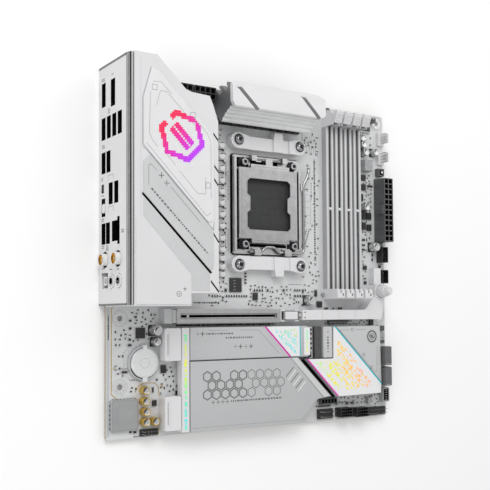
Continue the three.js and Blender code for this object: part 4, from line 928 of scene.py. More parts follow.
# scattered pale ceramics and resistors in the component fields
FIELDS = [(112.0, 170.0, 88.0, 104.0, 64), (216.8, 231.0, 104.0, 228.0, 120), (6.5, 36.0, 28.0, 86.0, 55), (78.0, 94.0, 88.0, 110.0, 26), (160.0, 178.0, 104.0, 236.0, 46), (172.0, 222.0, 10.2, 16.8, 30),
          (226.0, 236.0, 4.0, 18.0, 14), (232.6, 241.8, 58.0, 74.0, 20), (88.0, 176.0, 210.6, 217.0, 34), (182.0, 228.0, 73.6, 76.8, 22), (36.0, 50.0, 28.5, 49.0, 18), (86.0, 96.0, 112.0, 214.0, 44)]
TAKEN = [tuple(r[:4]) for r in ICS + CHIPS] + [(x0, x1, y - 1.2, y + 1.2) for x0, x1, y, n, w in ROWS] + [
    (13.0, 40.0, 36.0, 63.0), (33.0, 42.0, 60.0, 76.0), (2.0, 23.5, 4.0, 27.5), (22.5, 38.0, 0.5, 35.5), (4.0, 16.5, 28.0, 40.5), (4.0, 16.5, 74.0, 86.5), (91.5, 108.0, 107.0, 127.5), (147.0, 160.0, 110.0, 126.0),
    (94.0, 162.0, 124.0, 202.0), (91.0, 162.0, 200.0, 217.0), (120.0, 142.0, 104.0, 112.0), (84.5, 90.6, 108.0, 206.5), (180.0, 216.5, 90.0, 243.0), (161.4, 171.0, 88.0, 97.6), (216.0, 236.0, 92.0, 107.0),
    (226.0, 243.0, 104.0, 137.8), (226.0, 236.0, 131.0, 140.0), (232.0, 244.0, 138.0, 243.8), (217.0, 229.0, 195.0, 227.0), (219.4, 224.6, 164.6, 170.0), (233.0, 243.5, 74.5, 86.0), (160.6, 169.8, 74.5, 85.5),
    (190.0, 222.0, 0.5, 10.2), (177.0, 189.0, 95.0, 99.0), (160.6, 169.8, 232.0, 242.0), (176.5, 182.6, 94.0, 99.9)]
for fx0, fx1, fy0, fy1, n in FIELDS:
    for _ in range(n):
        for _t in range(12):
            x, y = q.uniform(fx0, fx1), q.uniform(fy0, fy1)
            v = q.random() < 0.4
            lx, ly = ((0.8, 1.7) if v else (1.7, 0.8))
            r = (x - lx / 2 - 0.5, x + lx / 2 + 0.5, y - ly / 2 - 0.5, y + ly / 2 + 0.5)
            if all(r[1] < t[0] or r[0] > t[1] or r[3] < t[2] or r[2] > t[3] for t in TAKEN):
                TAKEN.append(r)
                chip2(x - lx / 2, x + lx / 2, y - ly / 2, y + ly / 2, 0.55, q.choice((0, 0, 0, 2, 3)))
                break
d.done(["chip", "tin", "mlcc", "line"], bevel=0.05, segs=1, slot="chips")

# printing: plain dashes, frames, plus marks, rings; nothing here spells anything
d = Build("board_print")
z0, z1 = T - 0.02, T + 0.025
for x, y, dx, dy, h, sd, m in ((173.4, 128.0, 0, 74, 1.5, 1, 0), (170.2, 170.0, 0, 14, 0.9, 2, 1), (93.2, 176.0, 0, 17, 1.0, 3, 1), (95.0, 165.0, 0, 22, 0.8, 4, 1), (92.6, 130.0, 0, 12, 0.9, 5, 1), (94.8, 128.0, 0, 16, 0.7, 6, 1),
                               (66.0, 90.6, 20, 0, 1.1, 7, 0), (8.6, 46.4, 9, 0, 1.0, 8, 1), (17.0, 38.6, 12, 0, 1.1, 9, 1), (20.0, 0.9, 12, 0, 0.8, 10, 0), (1.9, 66.0, 0, 16, 0.9, 11, 1), (148.0, 104.6, 12, 0, 0.8, 12, 1),
                               (174.0, 18.2, 16, 0, 1.0, 13, 1), (226.0, 60.0, 0, 10, 0.9, 14, 1), (162.0, 213.0, 0, 16, 0.9, 15, 1), (160.4, 133.0, 5, 14, 0.9, 16, 0), (163.0, 133.0, 5, 14, 0.9, 17, 0)):
    d.ticks(x, y, dx, dy, 1, z0, z1, m, w=0.6, h=h, gap=0.5, seed=sd)
for x, y, a in ((166.8, 196.6, 0.4), (167.4, 186.8, 0), (166.6, 178.0, 0), (173.4, 124.2, 0.6), (173.4, 120.4, 0.6), (175.6, 206.0, 0.7)):
    d.plus(x, y, 1.5, 0.22, z0, z1, 0, a)
for k in range(4):
    for j in range(2):
        d.line([(169.0 + k * 1.9, 206.0 + j * 8.0), (169.0 + k * 1.9, 212.5 + j * 8.0)], 0.28, z0, z1, 1)
d.line([(164.6, 152.0), (169.4, 152.0), (169.4, 174.0), (164.6, 174.0)], 0.2, z0, z1, 1, closed=True)
for y in (158.0, 164.0, 169.0):
    d.line([(164.6, y), (169.4, y)], 0.18, z0, z1, 1)
for x0, x1, y0, y1, h in ICS:
    d.line([(x0 - 0.9, y0 - 0.5), (x1 + 0.9, y0 - 0.5), (x1 + 0.9, y1 + 0.5), (x0 - 0.9, y1 + 0.5)], 0.14, z0, z1, 1, closed=True)
for i in range(0, len(CHIPS), 2):
    x0, x1, y0, y1, h = CHIPS[i]
    d.line([(x0 - 0.5, y0 - 0.4), (x1 + 0.5, y0 - 0.4), (x1 + 0.5, y1 + 0.4), (x0 - 0.5, y1 + 0.4)], 0.1, z0, z1, 1, closed=True)
for x, y in ((10.16, 34.29), (10.16, 80.01), (237.49, 80.01), (237.49, 237.49)):
    d.ring(x, y, z0, z1, 5.35, 5.5, 48, 1)
for x in (117.0, 128.0, 139.0):
    d.line([(x, 100.9), (x + 7.0, 100.9)], 0.16, z0, z1, 1)
# silver-grey bare strip along the rear edge, guard frame of the sound section
d.box(0.55, 2.6, 2.0, 87.4, z0, z1, 2)
d.line([(16.8, 61.0), (13.0, 57.0), (13.0, 43.0), (17.2, 39.0)], 0.16, z0, z1, 1)
d.ticks(52.0, 74.9, 84.0, 0.0, 1, z0, z1, 0, w=1.1, h=1.0, gap=1.0, seed=33)
for k in range(40):
    d.box(52.4 + k * 2.0, 53.4 + k * 2.0, 74.2, 75.4, z0, T + 0.5, 0)
d.done(["silk", "silk_grey", "silver_pl"], slot="print")

# tinned rings with solder beads at the mounting holes, gold guard traces, soldered barrels
d = Build("board_metal")
for x, y in ((10.16, 34.29), (10.16, 80.01), (33.02, 237.49), (165.1, 237.49), (165.1, 80.01), (165.1, 34.29), (237.49, 80.01), (237.49, 237.49)):
    d.ring(x, y, z0, T + 0.05, 2.02, 4.5, 48, 0)
    for k in range(10):
        a = k * math.pi / 5 + 0.2
        d.lathe(x + 3.3 * math.cos(a), y + 3.3 * math.sin(a), [(0.62, T), (0.5, T + 0.16), (0.28, T + 0.24), (0.0, T + 0.26)], 14, 0)
    d.ring(x, y, T + 0.02, T + 0.09, 4.3, 4.5, 48, 0)
for path in ([(4.0, 86.6), (4.0, 29.8), (7.5, 26.8)], [(21.3, 30.2), (21.9, 32.1), (23.6, 34.4), (27.9, 36.4), (35.8, 36.0), (38.4, 33.3), (38.8, 27.8), (40.3, 25.4)], [(37.6, 7.0), (38.6, 5.2), (38.6, 0.9)], [(4.0, 86.6), (5.4, 87.4)]):
    d.line(path, 0.62, z0, T + 0.05, 1)
d.ring(41.0, 33.3, z0, T + 0.06, 0.35, 1.15, 28, 1)
for x, y in ((6.2, 33.0), (6.2, 78.0)):
    d.ring(x - 0.6, y + 14, z0, T + 0.05, 0.3, 0.7, 20, 1)
d.done(["tin", "copper_trace"], slot="print")

# electrolytic and polymer capacitors
d = Build("capacitor_cans")


def can(x, y, r, h, base=True, sleeve=None):
    if base:
        s = r + 0.35
        d.prism([(x - s, y - s), (x + s * 0.5, y - s), (x + s, y - s * 0.5), (x + s, y + s * 0.5), (x + s * 0.5, y + s), (x - s, y + s)], T - 0.02, T + 0.9, 1)
    m = 0 if sleeve is None else sleeve
    d.lathe(x, y, [(r * 0.93, T + 0.5), (r, T + 1.0), (r, T + 1.5), (r * 0.95, T + 1.8), (r, T + 2.1), (r, T + h - 0.7), (r * 0.95, T + h - 0.25), (r * 0.84, T + h), (r * 0.8, T + h - 0.14), (0.0, T + h - 0.14)], 40, m,
            ms=[m, m, m, m, m, m, m, 0, 0])
    p = [(x + r * 0.76 * math.cos(t), y + r * 0.76 * math.sin(t)) for t in [math.radians(78 + k * 10) for k in range(13)]]
    d.prism(p, T + h - 0.2, T + h - 0.09, 2)


can(165.2, 92.6, 3.6, 7.4)
for x, y, r, h in ((218.3, 223.1, 2.9, 6.6), (219.5, 217.9, 2.9, 6.6), (221.5, 211.9, 3.1, 6.8), (232.7, 212.9, 3.0, 5.6)):
    can(x, y, r, h)
can(221.9, 167.5, 2.8, 6.4)
can(230.5, 135.8, 3.5, 7.4)
can(34.5, 71.6, 3.4, 8.6)
can(35.1, 63.9, 2.8, 6.6)
for x, y in ((26.7, 31.6), (26.7, 24.4), (27.0, 17.4), (27.0, 10.5), (33.9, 10.6)):
    d.lathe(x, y, [(2.75, T), (2.9, T + 0.4), (2.9, T + 1.2), (2.72, T + 1.5), (2.9, T + 1.8), (2.9, T + 5.6), (2.6, T + 6.1), (2.1, T + 6.2), (1.95, T + 6.05), (0.0, T + 6.05)], 40, 3, ms=[3, 3, 3, 3, 3, 3, 3, 0, 0])
    p = [(x + 2.55 * math.cos(t), y + 2.55 * math.sin(t)) for t in [math.radians(70 + k * 11) for k in range(14)]]
    d.prism(p, T + 6.0, T + 6.24, 2)
    for k in range(6):
        a = k * math.pi / 3
        d.box(x + 2.2 * math.cos(a) - 0.12, x + 2.2 * math.cos(a) + 0.12, y + 2.2 * math.sin(a) - 0.3, y + 2.2 * math.sin(a) + 0.3, T + 6.1, T + 6.28, 3, a)
d.done(["cap_can", "black", "seal", "sleeve"], bevel=0.05, segs=1, slot="cans")

# power choke and the cell's clip
d = Build("power_choke")
d.box(219.6, 228.0, 196.4, 206.0, T - 0.02, 8.0, 0, inset=0.3)
d.box(219.2, 228.4, 198.0, 204.4, T - 0.02, T + 0.9, 1)
d.done(["choke", "tin"], bevel=0.3, segs=2, slot="inductors")
d = Build("cell_detail")
cx, cy = 26.6, 49.9
for r0, r1, zt in ((9.35, 9.6, 5.5), (7.9, 8.05, 5.78), (6.1, 6.2, 5.76)):
    d.ring(cx, cy, 5.35, zt, r0, r1, 56, 0)
d.ring(cx, cy, 5.6, 5.76, 3.2, 3.32, 48, 1)
d.box(24.9, 28.3, 37.4, 40.6, 5.5, 5.95, 0)
d.box(25.2, 28.0, 59.0, 61.8, 4.9, 5.9, 0)
d.box(24.0, 29.2, 36.6, 37.2, T - 0.02, 4.2, 0)
# painted shade: a black arc in the gap outside the cell's rim on its -y side
q = [(cx + 10.35 * math.cos(t), cy + 10.35 * math.sin(t)) for t in [math.radians(200 + k * 8) for k in range(17)]]
d.line(q, 0.5, 4.0, 4.35, 2)
d.done(["cell", "line", "void_and_shade"], bevel=0.06, segs=1, slot="steel_bright")
d = Build("sound_can_detail")
d.line([(3.6, 6.2), (21.6, 6.2), (21.6, 25.6), (3.6, 25.6)], 0.14, 4.15, 4.24, 0, closed=True)
for k in range(7):
    d.box(4.6 + k * 2.6, 5.6 + k * 2.6, 5.2, 5.4, 1.9, 2.6, 1)
    d.box(4.6 + k * 2.6, 5.6 + k * 2.6, 26.4, 26.6, 1.9, 2.6, 1)
for k in range(6):
    d.box(2.55, 2.72, 7.0 + k * 3.0, 8.0 + k * 3.0, 1.9, 2.6, 1)
d.done(["steel_dim", "void_and_shade"], slot="steel")


# ------------------------------------------------------------------ drive and chipset heatsink graphics
d = Build("heatsink_inlays")
z = 12.0
# glossy white fields with coloured edge strips
d.prism([(120.6, 73.1), (142.6, 51.0), (150.3, 51.0), (150.3, 73.1)], 11.9, z + 0.06, 0)
d.line([(119.4, 73.2), (141.9, 50.6)], 0.95, 11.9, z + 0.12, 1)
d.line([(150.9, 50.8), (150.9, 73.2)], 0.75, 11.9, z + 0.12, 2)
d.prism([(157.9, 48.3), (187.2, 19.1), (229.6, 19.5), (230.2, 26.2), (184.0, 71.8), (182.5, 71.9), (182.3, 48.1)], z - 0.05, z + 0.08, 0)
d.line([(157.4, 48.5), (186.8, 19.1)], 0.95, z - 0.05, z + 0.13, 1)
d.line([(184.0, 72.2), (230.3, 26.6)], 0.85, z - 0.05, z + 0.15, 2)
d.prism([(142.6, 49.7), (148.5, 49.7), (151.0, 47.1), (178.2, 20.1), (172.8, 19.5)], z - 0.05, z + 0.05, 3)
# white strip, thin iridescent strips
d.box(155.0, 160.5, 51.6, 72.0, 10.85, 11.5, 0)
d.done(["gloss_white", "magenta", "cyan", "silver_light"], bevel=0.04, segs=1, slot="heatsink_print")

d = Build("iridescent_marks")
q = random.Random(21)


def blocks(pts, step, size, prob, seed, z0, z1, m, row_gap=0):
    """Rows of small squares standing in for printed words; a fixed random pattern that spells nothing."""
    r = random.Random(seed)
    xs, ys = [p[0] for p in pts], [p[1] for p in pts]
    i = 0
    n = Vector((0.7071, -0.7071))
    t = Vector((0.7071, 0.7071))
    c = Vector((sum(xs) / len(xs), sum(ys) / len(ys)))
    k = int(60 / step)
    for a in range(-k, k):
        if row_gap and (a % row_gap) == 0:
            continue
        on = True
        for b in range(-k, k):
            if b % 4 == 0:
                on = r.random() < 0.82
            p = c + n * (b * step) + t * (a * step)
            if inside(pts, p.x, p.y) and all(inside(pts, p.x + u, p.y + v) for u, v in ((1, 1), (-1, 1), (1, -1), (-1, -1))) and on and r.random() < prob:
                d.box(p.x - size / 2, p.x + size / 2, p.y - size / 2, p.y + size / 2, z0, z1, m, math.pi / 4)


blocks([(124.0, 72.0), (143.6, 52.6), (149.2, 52.6), (149.2, 72.0)], 1.0, 0.86, 0.5, 3, 12.0, 12.13, 0, row_gap=5)
blocks([(162.4, 46.6), (186.6, 23.0), (218.0, 23.4), (222.0, 28.0), (186.0, 66.4), (184.6, 66.0), (184.4, 47.0)], 1.25, 1.1, 0.55, 4, 12.03, 12.15, 0, row_gap=5)
for k in range(9):
    d.box(157.0, 158.4, 53.6 + k * 1.9, 54.7 + k * 1.9, 11.45, 11.56, 1)
# the strip in the rail
y = 4.0
r = random.Random(12)
while y < 69.5:
    l = r.choice((0.7, 1.2, 2.0, 2.8))
    w = r.uniform(0.5, 1.2)
    c = 54.1 + r.uniform(-0.25, 0.25)
    d.box(c - w, c + w, y, min(y + l, 70.4), 12.0, 12.1, 1)
    y += l + r.choice((0.3, 0.6, 1.6))
d.done(["rainbow", "rainbow_y"], slot="heatsink_print")

d = Build("heatsink_lines")
p = 12.0
w = 0.28
# upper plate
d.line([(72.0, 71.2), (88.0, 71.2)], w, p - 0.05, p + 0.05, 0)
d.line([(98.0, 71.0), (113.4, 71.0), (116.2, 68.6), (131.6, 53.6)], w, p - 0.05, p + 0.05, 0)
for x, y in ((63.6, 68.8), (67.4, 68.8), (94.0, 59.4), (98.4, 59.4), (102.8, 59.4), (107.2, 59.4)):
    d.plus(x, y, 1.7, 0.2, p - 0.05, p + 0.05, 1, star=(x in (63.6, 94.0, 102.8)))
    if x not in (63.6, 94.0, 102.8):
        d.plus(x, y, 1.5, 0.16, p - 0.05, p + 0.05, 1)
d.ticks(70.4, 68.8, 22.0, 0, 1, p - 0.05, p + 0.05, 1, w=0.8, h=1.1, gap=0.7, seed=51)
d.ticks(86.0, 65.8, 23.0, 0, 1, p - 0.05, p + 0.05, 1, w=0.8, h=1.1, gap=0.7, seed=52)
# edge line between plate and strip, set down in the gap as painted shade; base groove
d.line([(57.9, 50.6), (141.4, 50.6)], 0.35, p - 1.0, p - 0.02, 2)
d.line([(141.3, 50.9), (172.3, 19.2)], 0.4, p - 0.05, p + 0.04, 2)
d.line([(57.5, 2.0), (57.5, 49.6)], 0.3, p - 0.05, p + 0.03, 2)
# right heatsink
d.line([(188.4, 69.6), (223.0, 36.6), (225.6, 36.6), (226.4, 57.4)], w, p - 0.05, p + 0.05, 0)
d.line([(188.4, 69.6), (198.0, 69.8)], w, p - 0.05, p + 0.05, 0)
d.line([(204.0, 69.8), (214.6, 69.8)], w, p - 0.05, p + 0.05, 0)
for x, y in ((201.0, 69.8), (212.4, 50.0), (220.0, 40.0)):
    d.ring(x, y, p - 0.05, p + 0.05, 0.9, 1.25, 28, 1)
d.ring(221.0, 64.2, p - 0.05, p + 0.07, 3.9, 4.7, 48, 3)
d.ring(221.0, 64.2, p - 0.05, p + 0.07, 2.4, 2.75, 40, 3)
for k in range(3):
    d.box(219.4 + k * 1.2, 220.0 + k * 1.2, 62.6, 65.8, p - 0.05, p + 0.07, 3, 0.5)
d.ring(221.0, 64.2, p - 0.05, p + 0.05, 5.3, 5.45, 48, 0)
# strip between the two
d.ticks(177.0, 55.6, 0, 10.0, 1, p - 0.05, p + 0.05, 1, w=0.7, h=1.5, gap=0.9, seed=54)
for y in (53.4, 68.6):
    d.cyl(177.0, y, p - 0.05, p + 0.05, 0.5, 18, 1)
d.line([(181.1, 49.2), (181.1, 72.2)], 0.22, p - 0.05, p + 0.03, 2)
# black-edged gap pieces beside the right heatsink, painted shade in the gap
d.line([(155.9, 47.6), (185.3, 18.4)], 1.7, 7.6, 8.4, 3)
d.line([(153.9, 46.9), (181.4, 19.6)], 1.3, 6.6, 7.2, 3)
# lower plate: a plain honeycomb of thin cells fading to the right, with a hatch of parallel bars under it
for r_ in range(3):
    for k in range(9):
        if (k + r_ * 2) % 7 == 6:
            continue
        hx, hy = 71.0 + k * 7.3 + (r_ % 2) * 3.65, 26.6 + r_ * 6.3
        cell = [(hx + 3.5 * math.cos(math.radians(30 + 60 * t)), hy + 3.5 * math.sin(math.radians(30 + 60 * t))) for t in range(6)]
        d.line(cell, 0.85 if k < 5 else 0.5, p - 0.05, p + 0.06, 4, closed=True)
for k in range(6):
    d.prism([(137.0 + k * 2.2, 36.0 - k * 2.2), (138.0 + k * 2.2, 36.0 - k * 2.2), (145.0 + k * 2.2, 43.0 - k * 2.2), (144.0 + k * 2.2, 43.0 - k * 2.2)], p - 0.05, p + 0.06, 5 if k % 2 else 4)
d.ticks(90.0, 21.2, 44.0, 0, 1, p - 0.05, p + 0.05, 1, w=0.9, h=1.2, gap=0.8, seed=55)
for x, y in ((75.6, 21.2), (79.6, 21.2), (83.4, 21.2), (87.0, 21.2)):
    d.plus(x, y, 1.5, 0.2, p - 0.05, p + 0.05, 1)
d.line([(58.2, 4.4), (151.6, 4.0), (159.2, 10.4), (165.4, 18.2)], 0.2, p - 0.05, p + 0.04, 0)
d.done(["silk_grey", "line", "line", "void_and_shade", "mark_grey", "gloss_white"], slot="heatsink_print")

# dark ribbed block standing in the gap as painted shade, black studs beside it and the small parts under the heatsinks'
# edge
d = Build("gap_shade_block")
d.box(165.4, 172.4, 48.6, 72.6, 4.9, 9.6, 0)
for k in range(9):
    x = 165.9 + k * 0.74
    d.box(x, x + 0.34, 48.8, 72.4, 9.5, 10.2, 1)
d.box(160.9, 165.2, 48.8, 72.6, 4.9, 8.2, 2)
for k, y in enumerate((70.4, 67.4, 63.6, 60.0, 56.4)):
    d.lathe(163.0, y, [(0.95, 8.1), (0.95, 9.0), (0.7, 9.3), (0.0, 9.35)], 22, 3)
d.line([(162.9, 54.0), (162.9, 50.2), (160.2, 49.4)], 0.9, 8.1, 9.0, 3)
d.done(["chip", "steel_dim", "hs_light", "void_and_shade"], bevel=0.06, segs=1, slot="plastic_dark")


# ------------------------------------------------------------------ connectors, pins, slots and the underside
d = Build("power_pins")
for x0, y0, nx, ny in ((42.2, 232.6, 4, 2), (60.6, 232.6, 4, 2), (233.9, 139.9, 2, 12)):
    zt = 14.2 if x0 < 100 else 14.5
    for i in range(nx):
        for j in range(ny):
            x, y = x0 + 0.9 + i * 4.2 + 1.6, y0 + 0.9 + j * 4.2 + 1.6
            # painted shade: a black square at the floor of each pin hole
            d.box(x - 1.5, x + 1.5, y - 1.5, y + 1.5, zt - 8.98, zt - 8.8, 1)
            d.box(x - 0.5, x + 0.5, y - 0.5, y + 0.5, zt - 8.9, zt - 3.6, 0, inset=0.2)
d.done(["pin", "void_and_shade"], slot="pins")

d = Build("connector_detail")
# raised key ribs and part lines on the power connectors
for k in range(12):
    y = 140.8 + k * 4.2
    d.box(233.72, 233.92, y + 0.7, y + 2.5, 3.0, 13.9, 0)
d.box(233.7, 243.5, 191.0, 191.4, 2.0, 4.6, 0)
d.done(["grey_pl"], bevel=0.06, segs=1, slot="plastic_grey")

d = Build("header_pins")
def pin_grid(x0, x1, y0, y1, z0, z1, px_, py_, m=0, r=0.32):
    x = x0
    while x <= x1 + 1e-6:
        y = y0
        while y <= y1 + 1e-6:
            d.box(x - r, x + r, y - r, y + r, z0, z1, m, inset=0.12)
            y += py_
        x += px_


pin_grid(238.2, 240.4, 125.4, 134.2, 3.1, 7.4, 2.0, 1.1, 0, 0.25)
pin_grid(238.6, 240.4, 108.6, 115.6, 3.1, 7.2, 1.6, 1.0, 0, 0.22)
pin_grid(193.0, 201.8, 4.3, 7.1, 3.1, 9.6, 2.2, 2.6)
pin_grid(209.1, 217.9, 3.7, 6.3, 3.1, 9.6, 2.2, 2.6)
# open pin rows standing on low black bars
for x0, x1, y0, y1 in ((174.4, 186.6, 2.6, 8.2), (222.4, 231.8, 2.0, 6.8), (233.6, 240.6, 2.2, 6.6), (24.6, 36.6, 1.5, 5.1)):
    zb = 4.1 if x0 < 40 else T + 2.3
    if x0 > 40:
        d.box(x0 - 0.9, x1 + 0.9, y0 - 0.9, y1 + 0.9, T - 0.02, zb, 1)
    x = x0 + 0.4
    while x < x1:
        for y in (y0 + 0.9, y1 - 0.9):
            d.box(x - 0.31, x + 0.31, y - 0.31, y + 0.31, zb - 0.05, (T + 7.6) if x0 > 40 else 9.4, 0, inset=0.12)
        x += 2.35
d.done(["pin", "black"], bevel=0.05, segs=1, slot="pins")

d = Build("side_headers")
# white fan headers with three or four pins on the upper right edge, one black
for y0, y1, n in ((219.2, 230.0, 4), (203.6, 214.4, 4)):
    d.box(237.6, 243.5, y0, y1, T - 0.02, 3.9, 0)
    d.box(242.6, 243.5, y0 + 2.0, y1 - 1.2, 3.8, 9.6, 0)
    for k in range(n):
        d.box(239.6, 240.2, y0 + 1.5 + k * 2.5, y0 + 2.1 + k * 2.5, 3.8, 11.0, 1)
d.box(235.4, 241.4, 193.8, 200.0, T - 0.02, 6.2, 2)
d.box(236.6, 240.4, 195.0, 198.8, 6.1, 6.35, 4)
d.box(237.6, 239.4, 196.0, 197.8, 6.2, 7.0, 1)
# black and grey lock parts at the upper edge, and the small black box on the lower right edge
d.box(218.6, 232.6, 236.8, 240.6, T - 0.02, 6.6, 2)
for k in range(5):
    d.box(219.8 + k * 2.6, 220.5 + k * 2.6, 238.2, 239.2, 6.5, 9.4, 1)
d.box(217.6, 229.4, 228.6, 234.4, T - 0.02, 3.6, 3)
for k in range(6):
    d.box(218.6 + k * 1.8, 219.4 + k * 1.8, 229.6, 233.4, 3.5, 4.5, 2)
d.box(178.4, 186.4, 241.2, 243.3, T - 0.02, 5.0, 2)
d.box(236.6, 243.4, 11.4, 22.6, T - 0.02, 6.4, 5)
d.box(237.6, 242.4, 12.4, 21.6, 6.3, 6.5, 4)
for k in range(5):
    d.box(238.2, 238.8, 13.2 + k * 1.8, 13.8 + k * 1.8, 6.2, 9.0, 1)
    d.box(241.0, 241.6, 13.2 + k * 1.8, 13.8 + k * 1.8, 6.2, 9.0, 1)
# low black bar between the two heatsinks' lower ends, and the part row beside it
d.box(175.4, 191.0, 12.6, 17.6, T - 0.02, 4.8, 2)
for k in range(5):
    d.box(176.4 + k * 3.0, 178.2 + k * 3.0, 13.6, 16.6, 4.7, 5.4, 4)
for x, y in ((192.4, 12.6), (202.9, 12.1), (208.4, 12.0)):
    d.cyl(x, y, T - 0.02, T + 2.2, 1.1, 24, 2)
    d.cyl(x, y, T + 2.1, T + 2.5, 0.5, 16, 1)
for k in range(6):
    d.box(174.6 + k * 2.1, 175.8 + k * 2.1, 10.6, 11.8, T - 0.02, T + 1.3, 2)
d.box(222.6, 226.2, 10.6, 15.6, T - 0.02, 5.0, 5)
# black row under the white channel
d.box(184.4, 203.6, 74.2, 77.3, T - 0.02, 3.4, 2)
for k in range(8):
    d.box(185.4 + k * 2.3, 186.1 + k * 2.3, 75.2, 76.0, 3.3, 5.0, 1)
# black edge parts beside the right heatsink
for y0, y1 in ((58.4, 61.0), (62.6, 67.0), (68.2, 72.4)):
    d.box(236.2, 242.6, y0, y1, T - 0.02, 2.6, 2 if y0 != 62.6 else 5)
d.cyl(180.0, 97.0, T - 0.02, 3.6, 1.5, 28, 5)
# small white round post and pale block near the upper header
d.cyl(240.0, 121.2, T - 0.02, 5.0, 1.2, 24, 0)
d.cyl(239.4, 138.2, T - 0.02, 7.4, 1.5, 28, 0)
d.done(["fan_white", "pin", "dark_grey_pl", "hs_grey", "void_and_shade", "choke"], bevel=0.14, segs=2, slot="plastic_black")

# memory slots: contact rows inside the grooves, long side ribs and the end tower's pocket
d = Build("memory_detail")
for c in (184.5, 193.7, 202.9, 212.1):
    for k in range(58):
        y = 103.2 + k * 2.15
        if 161.0 < y < 167.0 or y > 227.4:
            continue
        for s in (-1, 1):
            d.box(c + s * 0.72 - 0.1, c + s * 0.72 + 0.1, y - 0.5, y + 0.5, 3.4, 6.2, 0)
    for s in (-1, 1):
        d.box(c + s * 1.25 - 0.11, c + s * 1.25 + 0.11, 101.6, 162.8, 7.15, 7.32, 1)
        d.box(c + s * 1.25 - 0.11, c + s * 1.25 + 0.11, 165.2, 227.6, 7.15, 7.32, 1)
        d.box(c + s * 2.5 - 0.5, c + s * 2.5 + 0.5, 101.6, 227.8, 7.15, 7.24, 2)
    d.box(c - 0.72, c + 0.72, 101.3, 162.8, 3.25, 4.6, 1)
    d.box(c - 0.72, c + 0.72, 165.0, 228.6, 3.25, 4.6, 1)
    # painted shade: a grey strip over each slot's left wall
    d.box(c - 3.64, c - 3.4, 102.0, 227.6, 2.0, 6.6, 3)
    d.box(c - 0.7, c + 0.7, 98.4, 99.2, 3.3, 18.0, 1)
    # small dark key dot in the tower's top face and light keys halfway along
    d.box(c + 1.2, c + 2.4, 96.0, 97.6, 19.5, 19.68, 1)
    d.box(c - 0.7, c + 0.7, 163.2, 164.6, 7.1, 7.5, 4)
    for s in (-1, 1):
        d.line([(c + s * 3.3, 94.4), (c + s * 3.3, 101.0)], 0.2, 18.0, 18.3, 3)
# painted shadow: dark strips on the board between the slots
for c in (189.1, 198.3, 207.5):
    d.box(c - 0.9, c + 0.9, 97.0, 228.0, T - 0.02, 1.75, 1)
d.done(["steel_dim", "slot_dark", "silver_light", "line_soft", "gloss_white"], slot="plastic_silver")
# finger ridges on the latches, moving with them
for i, c in enumerate((184.5, 193.7, 202.9, 212.1)):
    d = Build("latch_detail_%d" % (i + 1))
    for k in range(4):
        y = 230.9 + k * 1.45
        zt = 19.0 + (y - 230.9) * 0.36
        d.box(c - 2.9, c + 2.9, y - 0.28, y + 0.28, zt - 1.0, zt + 0.42, 0)
    d.box(c - 0.7, c + 0.7, 228.85, 229.4, 10.8, 15.4, 1)
    d.done(["white_pl", "slot_dark"], body="dimm_latch_%d_body" % (i + 1), bevel=0.1, segs=2, slot="plastic_white")

# expansion slot contacts, dark groove floors of painted shade and the shield's welds
d = Build("slot_detail")
d.box(51.15, 55.45, 80.35, 81.85, 3.65, 9.6, 0)
d.box(57.55, 129.25, 80.35, 81.85, 3.65, 9.6, 0)
for k in range(72):
    x = 58.2 + k * 0.98
    for s in (-1, 1):
        d.box(x - 0.25, x + 0.25, 81.1 + s * 0.72 - 0.08, 81.1 + s * 0.72 + 0.08, 6.0, 10.4, 1)
d.line([(50.4, 79.3), (130.0, 79.3), (130.0, 82.9), (50.4, 82.9)], 0.35, 11.9, 12.0 + 0.12, 2, closed=True)
for x in (56.0, 70.0, 86.0, 102.0, 118.0, 131.2):
    d.lathe(x, 75.96, [(0.0, 75.94), (0.5, 75.95), (0.9, 76.02)], 18, 3, "y") if False else d.box(x - 1.6, x + 1.6, 75.86, 76.04, 4.6, 6.0, 3)
d.box(140.0, 149.0, 84.7, 85.5, 7.9, 8.1, 3)
d.box(140.0, 149.0, 76.7, 77.5, 7.9, 8.1, 3)
d.box(137.2, 141.0, 79.0, 83.2, 3.15, 3.4, 0)
d.box(155.2, 156.0, 79.0, 80.0, 11.95, 12.1, 0)
d.box(155.2, 156.0, 82.9, 83.9, 11.95, 12.1, 0)
for x in (172.0, 188.0, 204.0):
    d.line([(x, 78.6), (x, 84.4)], 0.14, 11.96, 12.06, 3)
d.done(["void_and_shade", "gold", "steel_dim", "line_soft"], slot="plastic_silver")

# end blocks: dark slot line of painted shade and side seam; drive port tongues
d = Build("block_detail")
for y0, y1 in ((50.9, 73.1), (4.0, 27.0)):
    d.box(40.35, 40.95, y0 + 4.1, y1 - 4.1, 11.35, 11.75, 1)
    d.line([(42.0, y0 + 2.0), (42.0, y1 - 2.0)], 0.12, 11.96, 12.04, 1)
for y0, y1 in ((41.2, 55.8), (25.0, 39.4)):
    d.box(239.0, 242.6, y0 + 2.6, y1 - 2.6, 5.2, 6.4, 0)
    for k in range(8):
        d.box(239.2, 242.4, y0 + 3.2 + k * 1.1, y0 + 3.7 + k * 1.1, 6.35, 6.5, 2)
    d.box(238.45, 238.62, y0 + 3.0, y1 - 3.0, 10.4, 14.4, 0)
    d.box(232.6, 237.6, y0 + 0.8, y0 + 1.2, 15.5, 15.66, 1)
d.done(["void_and_shade", "line_soft", "gold"], slot="plastic_black")

# underside: solder joints, backplate screws, part outlines
d = Build("underside_solder")
q = random.Random(5)


def joint(x, y, r=0.55):
    d.lathe(x, y, [(0.0, -0.75), (r * 0.4, -0.7), (r * 0.7, -0.32), (r, 0.02)], 10, 0)


